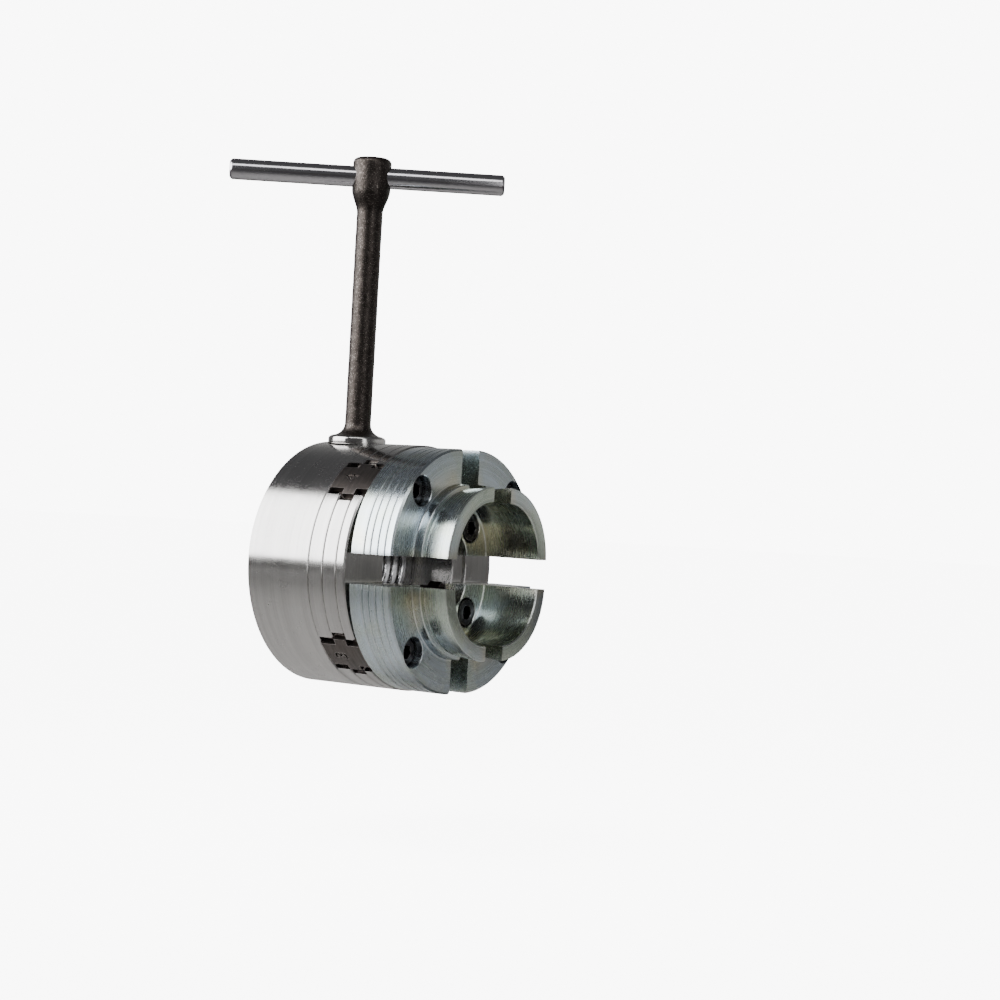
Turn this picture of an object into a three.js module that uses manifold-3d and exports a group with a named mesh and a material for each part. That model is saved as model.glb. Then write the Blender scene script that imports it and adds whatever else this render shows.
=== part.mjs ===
// Four-jaw geared scroll chuck for a wood lathe, with its T-handled key in the drive socket.
//
// Millimetres. X is the spindle axis and points to the work, Z is up and is the key's axis.
// Stations along X are measured from the rear face of the body; the finished group is moved
// forward so that the origin lies on the axis in the spindle's register face.

import * as THREE from 'three';
import { mergeVertices } from 'three/addons/utils/BufferGeometryUtils.js';
import Module from 'manifold-3d';

const wasm = await Module();
wasm.setup();

// ---------------------------------------------------------------- driving sizes

const CLEARANCE = 0.3;              // between any two pieces that touch or slide
const OVERRUN = 1;                  // how far a cutter runs past the face it breaks
const WELD = 0.4;                   // how far two joined solids reach into each other

const BODY_RADIUS = 46;
const BODY_LENGTH = 45.6;
const BODY_EDGE = 0.6;
const BODY_WALL = 6.5;

const HUB_RADIUS = 25;
const HUB_WALL = 4.7;
const HUB_LENGTH = 28.6;
const CAVITY_DEPTH = 32.2;
const FRONT_BORE = 22;
const FRONT_RECESS_RADIUS = 29.2;
const FRONT_RECESS_DEPTH = 1;

const SLOT_REAR = 28.9;
const SLOT_HALF = 8.3;
const WING_REAR = 35.5;
const WING_FRONT = 41.6;
const WING_REACH = 2.5;             // how far the slot's wings reach past its throat

const JAW_COUNT = 4;
const JAW_OPENING = 6.6;            // how far each jaw stands out from its concentric place
const JAW_STANDOFF = 1.8;
const JAW_FLANGE = 18.4;
const JAW_RIM = 0.5;                // metal outside the outer screw's pocket
const JAW_EDGE = 0.7;
const JAW_FLOOR = 9;
const EYE_WALL = 0.8;               // metal between the inner screw's pocket and the jaw's tip
const SAW_CUT = 1.6;
const SHOULDER_RADIUS = 27.5;
const SHOULDER_LENGTH = 3.9;
const NECK_RADIUS = 25.8;
const NECK_LENGTH = 0.8;
const NOSE_RADIUS = 27.2;
const NOSE_LENGTH = 15.1;
const NOSE_MARGIN = 0.5;            // from the inner screw's pocket to the nose's bore

const JAW_CLOSING = 6.5;            // travel inwards from the opening modelled
const SLIDE_INNER = 18;             // inner end of a slide, from the spindle axis
const SLIDE_RELIEF = 2.6;           // side relief of its outer end
const SLIDE_RELIEF_LENGTH = 3;
const SLIDE_TOOTH = 2;
const SLIDE_TOOTH_DEPTH = 3;
const SLIDE_TOOTH_INSET = 0.6;

const SCREW_RADIUS = 3;
const SCREW_HEAD_RADIUS = 5;
const SCREW_HEAD = 6;
const SCREW_HEX = 5;
const SCREW_HEX_DEPTH = 3;
const SCREW_LENGTH = 16;
const COUNTERBORE_ROOM = 0.6;
const TAPPED_DEPTH = 13.5;
const OUTER_SCREW = { end: 'outer', radius: 34.4, seat: 9 };
const INNER_SCREW = { end: 'inner', radius: 15.9, seat: 3 };

const SCROLL_PITCH = 5;
const SCROLL_RIDGE = 2.3;
const COLLAR_WALL = 3.9;

const RING_TEETH = 45;
const PINION_TEETH = 9;
const PINION_AXIS = 12;             // station of the key's axis
const GEAR_OUTER = 37.5;            // big end of the bevel teeth, from the spindle axis
const GEAR_STEP = 0.8;              // from the ring's collar to the small end of the teeth
const ADDENDUM = 1.45;
const DEDENDUM = 1.9;
const RING_TOOTH = 2.1;
const PINION_TOOTH = 2.1;
const FLANK = Math.tan(THREE.MathUtils.degToRad(20));

const JOURNAL_RADIUS = 9.2;
const JOURNAL_SINK = 1.1;            // how far the pinion's end lies under the key's seat
const JOURNAL_GROOVE = 7.4;
const JOURNAL_GROOVE_HALF = 1.4;
const PILOT_RADIUS = 3.2;
const PILOT_SINK = 0.9;              // how far the pilot's end stays inside the hub
const PILOT_WALL = 0.5;              // metal left between the pilot's bore and the ring's groove
const SOCKET_DEPTH = 9;
const PIN_RADIUS = 1.1;
const PIN_LENGTH = 17;
const PIN_ROOM = 0.4;
const PIN_SINK = 2.5;               // from the pinion's end down to the pin

const RETAINER_STAND = 2.5;
const RETAINER_THICK = 1.2;
const RETAINER_BITE = 1;
const RETAINER_GAP = THREE.MathUtils.degToRad(40);

const COVER_THICK = 1.9;
const COVER_LIP = 1.8;              // rim of the body outside the cover
const COVER_SCREWS = 6;
const COVER_SCREW_INSET = 2.4;
const COVER_SCREW_RADIUS = 1.25;
const COVER_SCREW_HEAD = 2;
const COVER_SCREW_LENGTH = 10;

const FLANGE_LENGTH = 8;
const FLANGE_STEP = 0.5;            // how far the flange stays inside the hub's edge
const FLANGE_FLAT_CUT = 2.5;
const INSERT_LENGTH = 27;
const THREAD_BORE = 14.6;           // minor diameter of an M33 x 3.5 spindle nose
const REGISTER_BORE = 16.7;
const REGISTER_DEPTH = 5;
const GRUB_RADIUS = 2.5;
const GRUB_LENGTH = 6.6;
const GRUB_HEX = 2.5;
const GRUB_HEX_DEPTH = 2.6;

const KEY_ANGLE = THREE.MathUtils.degToRad(37);
const KEY_COLLAR = 11;
const KEY_SPOT = 0.9;               // depth of the spot face under the key's collar
const KEY_SQUARE = 6;
const KEY_DRIVE = 9;
const KEY_SHANK = 5;
const KEY_NECK_RISE = 88.6;         // heights of the key are measured from its seat
const KEY_HEAD_RISE = 97.7;
const KEY_BAR_RISE = 102.5;
const KEY_LENGTH = 109.8;
const KEY_HEAD_RADIUS = 7.4;
const BAR_RADIUS = 4;
const BAR_LENGTH = 105;
const BAR_SHIFT = -1.6;
const BAR_CHAMFER = 0.8;

// ---------------------------------------------------------------- sizes that follow

const HUB_BORE = HUB_RADIUS - HUB_WALL;
const CAVITY_RADIUS = BODY_RADIUS - BODY_WALL;
const WING_HALF = SLOT_HALF + WING_REACH;
const COVER_RADIUS = BODY_RADIUS - COVER_LIP;
const COVER_SCREW_CIRCLE = COVER_RADIUS - COVER_SCREW_INSET;
const FLANGE_RADIUS = HUB_RADIUS - FLANGE_STEP;
const FLANGE_FLAT = FLANGE_RADIUS - FLANGE_FLAT_CUT;

const SCREWS = [OUTER_SCREW, INNER_SCREW];
const SCREW_BORE = SCREW_RADIUS + CLEARANCE;
const COUNTERBORE = SCREW_HEAD_RADIUS + COUNTERBORE_ROOM;
const JAW_RADIUS = OUTER_SCREW.radius + COUNTERBORE + JAW_RIM;
const JAW_EYE = INNER_SCREW.radius - COUNTERBORE - EYE_WALL;
const NOSE_BORE = INNER_SCREW.radius + COUNTERBORE + NOSE_MARGIN;
const JAW_REAR = BODY_LENGTH + JAW_STANDOFF;
const JAW_FRONT = JAW_REAR + JAW_FLANGE;
const NOSE_FRONT = JAW_FRONT + NOSE_LENGTH;
const SLIDE_FRONT = JAW_REAR - CLEARANCE;
const SLIDE_TEETH_FACE = SLOT_REAR + CLEARANCE;
const SLIDE_BACK = SLIDE_TEETH_FACE + SLIDE_TOOTH_DEPTH;
const RING_FACE = SLOT_REAR - CLEARANCE;
const RING_CREST = SLIDE_BACK - CLEARANCE;
const RING_BORE = HUB_RADIUS + CLEARANCE;
const COLLAR_RADIUS = RING_BORE + COLLAR_WALL;
const SCROLL_RADIUS = CAVITY_RADIUS - CLEARANCE;
const SCROLL_OUTER = SCROLL_RADIUS - CLEARANCE;
const SCROLL_TURNS = Math.floor((SCROLL_OUTER - SCROLL_RIDGE - RING_BORE) / SCROLL_PITCH);
const GEAR_INNER = COLLAR_RADIUS + GEAR_STEP;
const PINION_PITCH_RADIUS = GEAR_OUTER * PINION_TEETH / RING_TEETH;
const RETAINER_GROOVE_REAR = PINION_AXIS + PILOT_RADIUS + CLEARANCE + PILOT_WALL;
const RETAINER_REAR = RETAINER_GROOVE_REAR + CLEARANCE;
const COLLAR_REAR = RETAINER_REAR + RETAINER_THICK + CLEARANCE;
const RETAINER_RADIUS = HUB_RADIUS + RETAINER_STAND;
const JAW_STEP = 2 * Math.PI / JAW_COUNT;

const KEY_SEAT = BODY_RADIUS - KEY_SPOT;
const KEY_NECK = KEY_SEAT + KEY_NECK_RISE;
const KEY_HEAD_FOOT = KEY_SEAT + KEY_HEAD_RISE;
const KEY_BAR_HEIGHT = KEY_SEAT + KEY_BAR_RISE;
const KEY_HEAD_TOP = KEY_SEAT + KEY_LENGTH;
const SOCKET_SQUARE = KEY_SQUARE + CLEARANCE;
const JOURNAL_REAR = GEAR_OUTER + CLEARANCE;
const JOURNAL_FRONT = KEY_SEAT - JOURNAL_SINK;
const PILOT_END = HUB_BORE + PILOT_SINK;
const PIN_SIDE = JOURNAL_GROOVE + PIN_RADIUS + PIN_ROOM;
const PIN_HEIGHT = JOURNAL_FRONT - PIN_SINK;

const FINE = 48;
const ROUND = 32;
const SMALL = 16;
const TINY = 10;

const FINISHES = {
  body: { color: 0x9a9b9e, roughness: 0.28, metalness: 1 },
  cover: { color: 0x85878a, roughness: 0.4, metalness: 1 },
  insert: { color: 0x77797c, roughness: 0.38, metalness: 1 },
  slide: { color: 0x5b5552, roughness: 0.45, metalness: 1 },
  jaw: { color: 0xc2c9c4, roughness: 0.25, metalness: 1 },
  scroll: { color: 0x6e6c6a, roughness: 0.4, metalness: 1 },
  screw: { color: 0x232325, roughness: 0.5, metalness: 0.9 },
  forged: { color: 0x3b3532, roughness: 0.5, metalness: 0.85 },
  bar: { color: 0x8f8e92, roughness: 0.22, metalness: 1 },
};

// ---------------------------------------------------------------- solids and placing

/** Turns a closed geometry into a solid that can be joined and cut. */
function solidOf(geometry) {
  const plain = geometry.index ? geometry.toNonIndexed() : geometry.clone();
  plain.deleteAttribute('normal');
  plain.deleteAttribute('uv');
  const merged = mergeVertices(plain, 1e-4);
  const corners = merged.index.array;
  const kept = [];
  for (let i = 0; i < corners.length; i += 3) {
    const [a, b, c] = corners.slice(i, i + 3);
    if (a !== b && b !== c && c !== a) kept.push(a, b, c);
  }
  const mesh = new wasm.Mesh({
    numProp: 3,
    vertProperties: new Float32Array(merged.attributes.position.array),
    triVerts: new Uint32Array(kept),
  });
  return new wasm.Manifold(mesh);
}

/** A named mesh of the given finish from a finished solid. */
function piece(name, solid, finish) {
  const { vertProperties, triVerts } = solid.getMesh();
  const geometry = new THREE.BufferGeometry();
  geometry.setAttribute('position', new THREE.BufferAttribute(new Float32Array(vertProperties), 3));
  geometry.setIndex(new THREE.BufferAttribute(new Uint32Array(triVerts), 1));
  geometry.computeVertexNormals();
  const mesh = new THREE.Mesh(geometry, new THREE.MeshStandardMaterial(FINISHES[finish]));
  mesh.name = name;
  return mesh;
}

/** A solid of revolution about Z from [radius, height] points that run counter-clockwise. */
function turnedZ(points, segments) {
  const outline = points.map(([radius, height]) => new THREE.Vector2(radius, height));
  const closes = points[0][0] > 0 || points[points.length - 1][0] > 0;
  if (closes) outline.push(outline[0].clone());
  return solidOf(new THREE.LatheGeometry(outline, segments).rotateX(Math.PI / 2));
}

/** The same about X, from [radius, station] points. */
function turnedX(points, segments) {
  const outline = points.map(([radius, station]) => new THREE.Vector2(radius, station));
  const closes = points[0][0] > 0 || points[points.length - 1][0] > 0;
  if (closes) outline.push(outline[0].clone());
  return solidOf(new THREE.LatheGeometry(outline, segments).rotateZ(-Math.PI / 2));
}

/** A round bar about X between two stations, centred on (y, z). */
function rodX(radius, from, to, segments, y = 0, z = 0) {
  const geometry = new THREE.CylinderGeometry(radius, radius, to - from, segments);
  return solidOf(geometry.rotateZ(-Math.PI / 2).translate((from + to) / 2, y, z));
}

/** A round bar about Z between two heights, centred on (x, y). */
function rodZ(radius, from, to, segments, x = 0, y = 0) {
  const geometry = new THREE.CylinderGeometry(radius, radius, to - from, segments);
  return solidOf(geometry.rotateX(Math.PI / 2).translate(x, y, (from + to) / 2));
}

/** A box from its three [low, high] spans. */
function block([x0, x1], [y0, y1], [z0, z1]) {
  const geometry = new THREE.BoxGeometry(x1 - x0, y1 - y0, z1 - z0);
  return solidOf(geometry.translate((x0 + x1) / 2, (y0 + y1) / 2, (z0 + z1) / 2));
}

/** A closed outline of [u, v] points. */
function outlineOf(points) {
  return new THREE.Shape(points.map(([u, v]) => new THREE.Vector2(u, v)));
}

/** An outline in the XY plane, raised along Z between two heights. */
function raised(points, from, to) {
  const geometry = new THREE.ExtrudeGeometry(outlineOf(points), { depth: to - from, bevelEnabled: false });
  return solidOf(geometry.translate(0, 0, from));
}

/** An outline of [y, z] points, carried along X between two stations. */
function carried(points, from, to) {
  const geometry = new THREE.ExtrudeGeometry(outlineOf(points), { depth: to - from, bevelEnabled: false });
  const axes = new THREE.Matrix4().makeBasis(
    new THREE.Vector3(0, 1, 0),
    new THREE.Vector3(0, 0, 1),
    new THREE.Vector3(1, 0, 0),
  );
  return solidOf(geometry.applyMatrix4(axes).translate(from, 0, 0));
}

/** A bevel form: an outline given per unit of distance from the apex, which grows along Z. */
function bevelled(points, from, to) {
  const geometry = new THREE.ExtrudeGeometry(outlineOf(points), { depth: to - from, bevelEnabled: false });
  const position = geometry.translate(0, 0, from).attributes.position;
  for (let i = 0; i < position.count; i += 1) {
    const distance = position.getZ(i);
    position.setXY(i, position.getX(i) * distance, position.getY(i) * distance);
  }
  return solidOf(geometry);
}

/** A regular hexagon across flats, as [u, v] points. */
function hexagon(acrossFlats) {
  const corner = acrossFlats / Math.sqrt(3);
  return Array.from({ length: 6 }, (_, i) => [
    corner * Math.cos(i * Math.PI / 3),
    corner * Math.sin(i * Math.PI / 3),
  ]);
}

/** A square across flats turned about its centre, as [u, v] points. */
function squareOf(acrossFlats, turn) {
  const corner = acrossFlats / Math.SQRT2;
  return Array.from({ length: 4 }, (_, i) => {
    const angle = turn + (i + 0.5) * Math.PI / 2;
    return [corner * Math.cos(angle), corner * Math.sin(angle)];
  });
}

/** Copies of a solid turned about X, joined to or cut from another. */
function aroundX(count, start, solid) {
  const degrees = THREE.MathUtils.radToDeg;
  return Array.from({ length: count }, (_, i) => (
    solid.rotate([degrees(start + i * 2 * Math.PI / count), 0, 0])
  ));
}

/** The angle about X of jaw number n; 12 o'clock is zero. */
function jawAngle(number) {
  return (JAW_COUNT - number + 0.5) * JAW_STEP;
}

// ---------------------------------------------------------------- fixed pieces

/** The T-slot section of a slide or its slot, grown all round by `grow`, as [x, y] points. */
function slideSection(grow, front) {
  const half = SLOT_HALF - CLEARANCE + grow;
  const wing = WING_HALF - CLEARANCE + grow;
  const back = SLIDE_TEETH_FACE - grow;
  const wingBack = WING_REAR + CLEARANCE - grow;
  const wingFront = WING_FRONT - CLEARANCE + grow;
  return [
    [back, -half], [wingBack, -half], [wingBack, -wing], [wingFront, -wing], [wingFront, -half],
    [front, -half], [front, half], [wingFront, half], [wingFront, wing], [wingBack, wing],
    [wingBack, half], [back, half],
  ];
}

function coverScrewPlaces() {
  return Array.from({ length: COVER_SCREWS }, (_, i) => {
    const angle = (i + 0.5) * 2 * Math.PI / COVER_SCREWS;
    return { y: -COVER_SCREW_CIRCLE * Math.sin(angle), z: COVER_SCREW_CIRCLE * Math.cos(angle) };
  });
}

function chuckBody() {
  const coverSeat = COVER_THICK + CLEARANCE;
  const coverRim = COVER_RADIUS + CLEARANCE;
  const groove = HUB_RADIUS - RETAINER_BITE - CLEARANCE;
  const grooveFront = COLLAR_REAR;
  let body = turnedX([
    [coverRim, 0],
    [BODY_RADIUS - BODY_EDGE, 0],
    [BODY_RADIUS, BODY_EDGE],
    [BODY_RADIUS, BODY_LENGTH - BODY_EDGE],
    [BODY_RADIUS - BODY_EDGE, BODY_LENGTH],
    [FRONT_RECESS_RADIUS, BODY_LENGTH],
    [FRONT_RECESS_RADIUS, BODY_LENGTH - FRONT_RECESS_DEPTH],
    [FRONT_BORE, BODY_LENGTH - FRONT_RECESS_DEPTH],
    [FRONT_BORE, HUB_LENGTH],
    [HUB_BORE, HUB_LENGTH],
    [HUB_BORE, 0],
    [HUB_RADIUS, 0],
    [HUB_RADIUS, RETAINER_GROOVE_REAR],
    [groove, RETAINER_GROOVE_REAR],
    [groove, grooveFront],
    [HUB_RADIUS, grooveFront],
    [HUB_RADIUS, CAVITY_DEPTH],
    [CAVITY_RADIUS, CAVITY_DEPTH],
    [CAVITY_RADIUS, coverSeat],
    [coverRim, coverSeat],
  ], FINE);

  const slot = raised(slideSection(CLEARANCE, BODY_LENGTH + OVERRUN), 0, BODY_RADIUS + OVERRUN);
  for (const cut of aroundX(JAW_COUNT, JAW_STEP / 2, slot)) {
    body = body.subtract(cut);
  }
  const outside = BODY_RADIUS + OVERRUN;
  const spotFace = rodZ(KEY_COLLAR + CLEARANCE, KEY_SEAT - CLEARANCE, outside, ROUND, PINION_AXIS);
  const pinionBore = rodZ(JOURNAL_RADIUS + CLEARANCE, JOURNAL_REAR, outside, ROUND, PINION_AXIS);
  const pilotBore = rodZ(
    PILOT_RADIUS + CLEARANCE, HUB_BORE - OVERRUN, HUB_RADIUS + OVERRUN, SMALL, PINION_AXIS,
  );
  const pinHole = rodX(
    PIN_RADIUS + CLEARANCE, 0, COVER_THICK + CLEARANCE + PIN_LENGTH + CLEARANCE, TINY, PIN_SIDE, PIN_HEIGHT,
  );
  body = body.subtract(spotFace).subtract(pinionBore).subtract(pilotBore).subtract(pinHole);
  for (const { y, z } of coverScrewPlaces()) {
    const tapped = rodX(COVER_SCREW_RADIUS + CLEARANCE, 0, COVER_SCREW_LENGTH + CLEARANCE, TINY, y, z);
    body = body.subtract(tapped);
  }
  return piece('chuck_body', body, 'body');
}

function rearCover() {
  const bore = HUB_RADIUS + CLEARANCE;
  let cover = turnedX([
    [bore, 0],
    [COVER_RADIUS, 0],
    [COVER_RADIUS, COVER_THICK],
    [bore, COVER_THICK],
  ], FINE);
  const headDepth = COVER_SCREW_HEAD - COVER_SCREW_RADIUS;
  const sink = turnedX([
    [0, -OVERRUN],
    [COVER_SCREW_HEAD + CLEARANCE, -OVERRUN],
    [COVER_SCREW_HEAD + CLEARANCE, 0],
    [COVER_SCREW_RADIUS + CLEARANCE, headDepth],
    [COVER_SCREW_RADIUS + CLEARANCE, COVER_THICK + OVERRUN],
    [0, COVER_THICK + OVERRUN],
  ], TINY);
  for (const { y, z } of coverScrewPlaces()) {
    cover = cover.subtract(sink.translate([0, y, z]));
  }
  return piece('rear_cover', cover, 'cover');
}

function rearCoverScrews() {
  const headDepth = COVER_SCREW_HEAD - COVER_SCREW_RADIUS;
  const socket = carried(hexagon(COVER_SCREW_HEAD), -OVERRUN, headDepth);
  const screw = turnedX([
    [0, 0],
    [COVER_SCREW_HEAD, 0],
    [COVER_SCREW_RADIUS, headDepth],
    [COVER_SCREW_RADIUS, COVER_SCREW_LENGTH],
    [0, COVER_SCREW_LENGTH],
  ], TINY).subtract(socket);
  return coverScrewPlaces().map(({ y, z }, i) => {
    const mesh = piece(`rear_cover_screw_${i + 1}`, screw, 'screw');
    mesh.position.set(0, y, z);
    return mesh;
  });
}

function spindleInsert() {
  const seat = -CLEARANCE;
  const barrel = HUB_BORE - CLEARANCE;
  let insert = turnedX([
    [REGISTER_BORE, -FLANGE_LENGTH],
    [FLANGE_RADIUS, -FLANGE_LENGTH],
    [FLANGE_RADIUS, seat],
    [barrel, seat],
    [barrel, INSERT_LENGTH],
    [THREAD_BORE, INSERT_LENGTH],
    [THREAD_BORE, REGISTER_DEPTH - FLANGE_LENGTH],
    [REGISTER_BORE, REGISTER_DEPTH - FLANGE_LENGTH],
  ], ROUND);
  const reach = FLANGE_RADIUS + OVERRUN;
  const stations = [-FLANGE_LENGTH - OVERRUN, seat + CLEARANCE / 2];
  for (const span of [[FLANGE_FLAT, reach], [-reach, -FLANGE_FLAT]]) {
    insert = insert.subtract(block(stations, span, [-reach, reach]));
  }
  const grubHole = rodZ(GRUB_RADIUS + CLEARANCE, -reach, 0, SMALL, -FLANGE_LENGTH / 2);
  return piece('spindle_insert', insert.subtract(grubHole), 'insert');
}

function spindleLockScrew() {
  const outer = -FLANGE_RADIUS + CLEARANCE;
  const socket = raised(hexagon(GRUB_HEX), outer - OVERRUN, outer + GRUB_HEX_DEPTH);
  const grub = rodZ(GRUB_RADIUS, outer, outer + GRUB_LENGTH, SMALL).subtract(socket);
  const mesh = piece('spindle_lock_screw', grub, 'screw');
  mesh.position.x = -FLANGE_LENGTH / 2;
  return mesh;
}

function retainingRing() {
  const inner = HUB_RADIUS - RETAINER_BITE;
  let ring = turnedX([
    [inner, RETAINER_REAR],
    [RETAINER_RADIUS, RETAINER_REAR],
    [RETAINER_RADIUS, RETAINER_REAR + RETAINER_THICK],
    [inner, RETAINER_REAR + RETAINER_THICK],
  ], ROUND);
  const reach = RETAINER_RADIUS + OVERRUN;
  const spread = reach * Math.tan(RETAINER_GAP / 2);
  const mouth = carried([[0, 0], [-spread, -reach], [spread, -reach]], RETAINER_REAR - OVERRUN, COLLAR_REAR);
  ring = ring.subtract(mouth);
  return piece('scroll_retaining_ring', ring, 'screw');
}

function pinionRetainingPin() {
  const start = COVER_THICK + CLEARANCE;
  const pin = rodX(PIN_RADIUS, start, start + PIN_LENGTH, TINY, PIN_SIDE, PIN_HEIGHT);
  return piece('pinion_retaining_pin', pin, 'screw');
}

// ---------------------------------------------------------------- scroll and pinion

/** A rear-facing bevel tooth of the ring at 12 o'clock, per unit of distance from the apex. */
function ringToothSection() {
  const pitch = PINION_PITCH_RADIUS;
  const tip = RING_TOOTH / 2 - ADDENDUM * FLANK;
  const root = RING_TOOTH / 2 + (DEDENDUM + WELD) * FLANK;
  return [
    [pitch - ADDENDUM, -tip],
    [pitch + DEDENDUM + WELD, -root],
    [pitch + DEDENDUM + WELD, root],
    [pitch - ADDENDUM, tip],
  ].map(([u, v]) => [u / GEAR_OUTER, v / GEAR_OUTER]);
}

/** The pinion's outline, per unit of distance from the apex, with a tooth space towards +X. */
function pinionSection() {
  const pitch = PINION_PITCH_RADIUS;
  const step = 2 * Math.PI / PINION_TEETH;
  const corners = [
    { radius: pitch - DEDENDUM, half: PINION_TOOTH / 2 + 0.1 },
    { radius: pitch, half: PINION_TOOTH / 2 },
    { radius: pitch + ADDENDUM, half: PINION_TOOTH / 2 - 0.62 },
  ];
  const points = [];
  for (let tooth = 0; tooth < PINION_TEETH; tooth += 1) {
    const middle = (tooth + 0.5) * step;
    for (const { radius, half } of corners) {
      points.push([radius, middle - half / radius]);
    }
    for (const { radius, half } of corners.toReversed()) {
      points.push([radius, middle + half / radius]);
    }
  }
  return points.map(([radius, angle]) => [
    radius * Math.cos(angle) / GEAR_OUTER,
    radius * Math.sin(angle) / GEAR_OUTER,
  ]);
}

/** The scroll ridge as a flat spiral; its radius falls as the angle about X grows. */
function scrollOutline() {
  const steps = Math.round(SCROLL_TURNS * FINE);
  const start = SCROLL_OUTER - SCROLL_RIDGE / 2;
  const side = (offset) => Array.from({ length: steps + 1 }, (_, i) => {
    const turns = i / FINE;
    const radius = start - turns * SCROLL_PITCH + offset;
    const angle = turns * 2 * Math.PI;
    return [-radius * Math.sin(angle), radius * Math.cos(angle)];
  });
  return [...side(SCROLL_RIDGE / 2), ...side(-SCROLL_RIDGE / 2).reverse()];
}

function scrollRing() {
  const rootAt = (radius) => PINION_AXIS + radius * (PINION_PITCH_RADIUS + DEDENDUM) / GEAR_OUTER;
  let ring = turnedX([
    [RING_BORE, COLLAR_REAR],
    [COLLAR_RADIUS, COLLAR_REAR],
    [COLLAR_RADIUS, rootAt(COLLAR_RADIUS)],
    [SCROLL_RADIUS, rootAt(SCROLL_RADIUS)],
    [SCROLL_RADIUS, RING_FACE],
    [RING_BORE, RING_FACE],
  ], FINE);
  const tooth = bevelled(ringToothSection(), GEAR_INNER, GEAR_OUTER).translate([PINION_AXIS, 0, 0]);
  for (const copy of aroundX(RING_TEETH, 0, tooth)) {
    ring = ring.add(copy);
  }
  ring = ring.add(carried(scrollOutline(), RING_FACE - WELD, RING_CREST));
  return piece('scroll_ring', ring, 'scroll');
}

function bevelPinion() {
  const grooveRear = PIN_HEIGHT - JOURNAL_GROOVE_HALF;
  const grooveFront = PIN_HEIGHT + JOURNAL_GROOVE_HALF;
  const pilotRoot = GEAR_INNER + WELD;
  let pinion = bevelled(pinionSection(), GEAR_INNER, GEAR_OUTER);
  const journal = turnedZ([
    [0, GEAR_OUTER - WELD],
    [PINION_PITCH_RADIUS - DEDENDUM, GEAR_OUTER - WELD],
    [PINION_PITCH_RADIUS - DEDENDUM, JOURNAL_REAR],
    [JOURNAL_RADIUS, JOURNAL_REAR],
    [JOURNAL_RADIUS, grooveRear],
    [JOURNAL_GROOVE, grooveRear],
    [JOURNAL_GROOVE, grooveFront],
    [JOURNAL_RADIUS, grooveFront],
    [JOURNAL_RADIUS, JOURNAL_FRONT],
    [0, JOURNAL_FRONT],
  ], ROUND);
  const pilot = rodZ(PILOT_RADIUS, PILOT_END, pilotRoot, SMALL);
  const socket = raised(
    squareOf(SOCKET_SQUARE, KEY_ANGLE), JOURNAL_FRONT - SOCKET_DEPTH, JOURNAL_FRONT + OVERRUN,
  );
  pinion = pinion.add(journal).add(pilot).subtract(socket);
  const mesh = piece('bevel_pinion', pinion, 'scroll');
  mesh.position.x = PINION_AXIS;
  return mesh;
}

// ---------------------------------------------------------------- key

function keyShank() {
  const flare = KEY_COLLAR - KEY_SHANK - 1.2;
  const collarTop = KEY_SEAT + 2.4;
  const shoulder = KEY_HEAD_TOP - 2.1;
  const points = [
    [0, KEY_SEAT],
    [KEY_COLLAR - 0.5, KEY_SEAT],
    [KEY_COLLAR, KEY_SEAT + 0.5],
    [KEY_COLLAR, collarTop],
    [KEY_COLLAR - 1.2, collarTop + 1.1],
  ];
  for (let i = 1; i <= 5; i += 1) {
    const angle = i * Math.PI / 10;
    points.push([
      KEY_SHANK + flare * (1 - Math.sin(angle)),
      collarTop + 1.1 + flare * (1 - Math.cos(angle)),
    ]);
  }
  points.push([KEY_SHANK, KEY_NECK], [KEY_HEAD_RADIUS, KEY_HEAD_FOOT], [KEY_HEAD_RADIUS, shoulder]);
  points.push([KEY_HEAD_RADIUS - 0.6, KEY_HEAD_TOP - 0.6], [KEY_HEAD_RADIUS - 2.1, KEY_HEAD_TOP]);
  points.push([0, KEY_HEAD_TOP]);
  const drive = raised(squareOf(KEY_SQUARE, 0), KEY_SEAT - KEY_DRIVE, KEY_SEAT + WELD);
  const barHole = rodX(BAR_RADIUS + CLEARANCE, -KEY_COLLAR, KEY_COLLAR, SMALL, 0, KEY_BAR_HEIGHT);
  const shank = turnedZ(points, 32).add(drive).subtract(barHole);
  return piece('key_shank', shank, 'forged');
}

function keyBar() {
  const left = BAR_SHIFT - BAR_LENGTH / 2;
  const right = BAR_SHIFT + BAR_LENGTH / 2;
  const bar = turnedX([
    [0, left],
    [BAR_RADIUS - BAR_CHAMFER, left],
    [BAR_RADIUS, left + BAR_CHAMFER],
    [BAR_RADIUS, right - BAR_CHAMFER],
    [BAR_RADIUS - BAR_CHAMFER, right],
    [0, right],
  ], SMALL).translate([0, 0, KEY_BAR_HEIGHT]);
  return piece('key_bar', bar, 'bar');
}

function chuckKey() {
  const key = new THREE.Group();
  key.position.x = PINION_AXIS;
  key.rotation.z = KEY_ANGLE;
  key.add(keyShank(), keyBar());
  return key;
}

// ---------------------------------------------------------------- jaws and slides

/**
 * Radii at which a slide's teeth sit, so that they lie in the spaces of the scroll. The last
 * one runs on into the slide's solid outer end, which no turn of the scroll ever reaches.
 */
function slideToothRadii(number) {
  const ridge = SCROLL_OUTER - SCROLL_RIDGE / 2;
  const turned = jawAngle(number) / (2 * Math.PI);
  const first = SLIDE_INNER + SLIDE_TOOTH_INSET + SLIDE_TOOTH / 2;
  const last = ridge + JAW_CLOSING - SCROLL_PITCH / 2;
  const space = ridge - (0.5 + turned) * SCROLL_PITCH;
  let radius = space - Math.floor((space - first) / SCROLL_PITCH) * SCROLL_PITCH;
  const radii = [radius];
  while (radius <= last) {
    radius += SCROLL_PITCH;
    radii.push(radius);
  }
  return radii;
}

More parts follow.
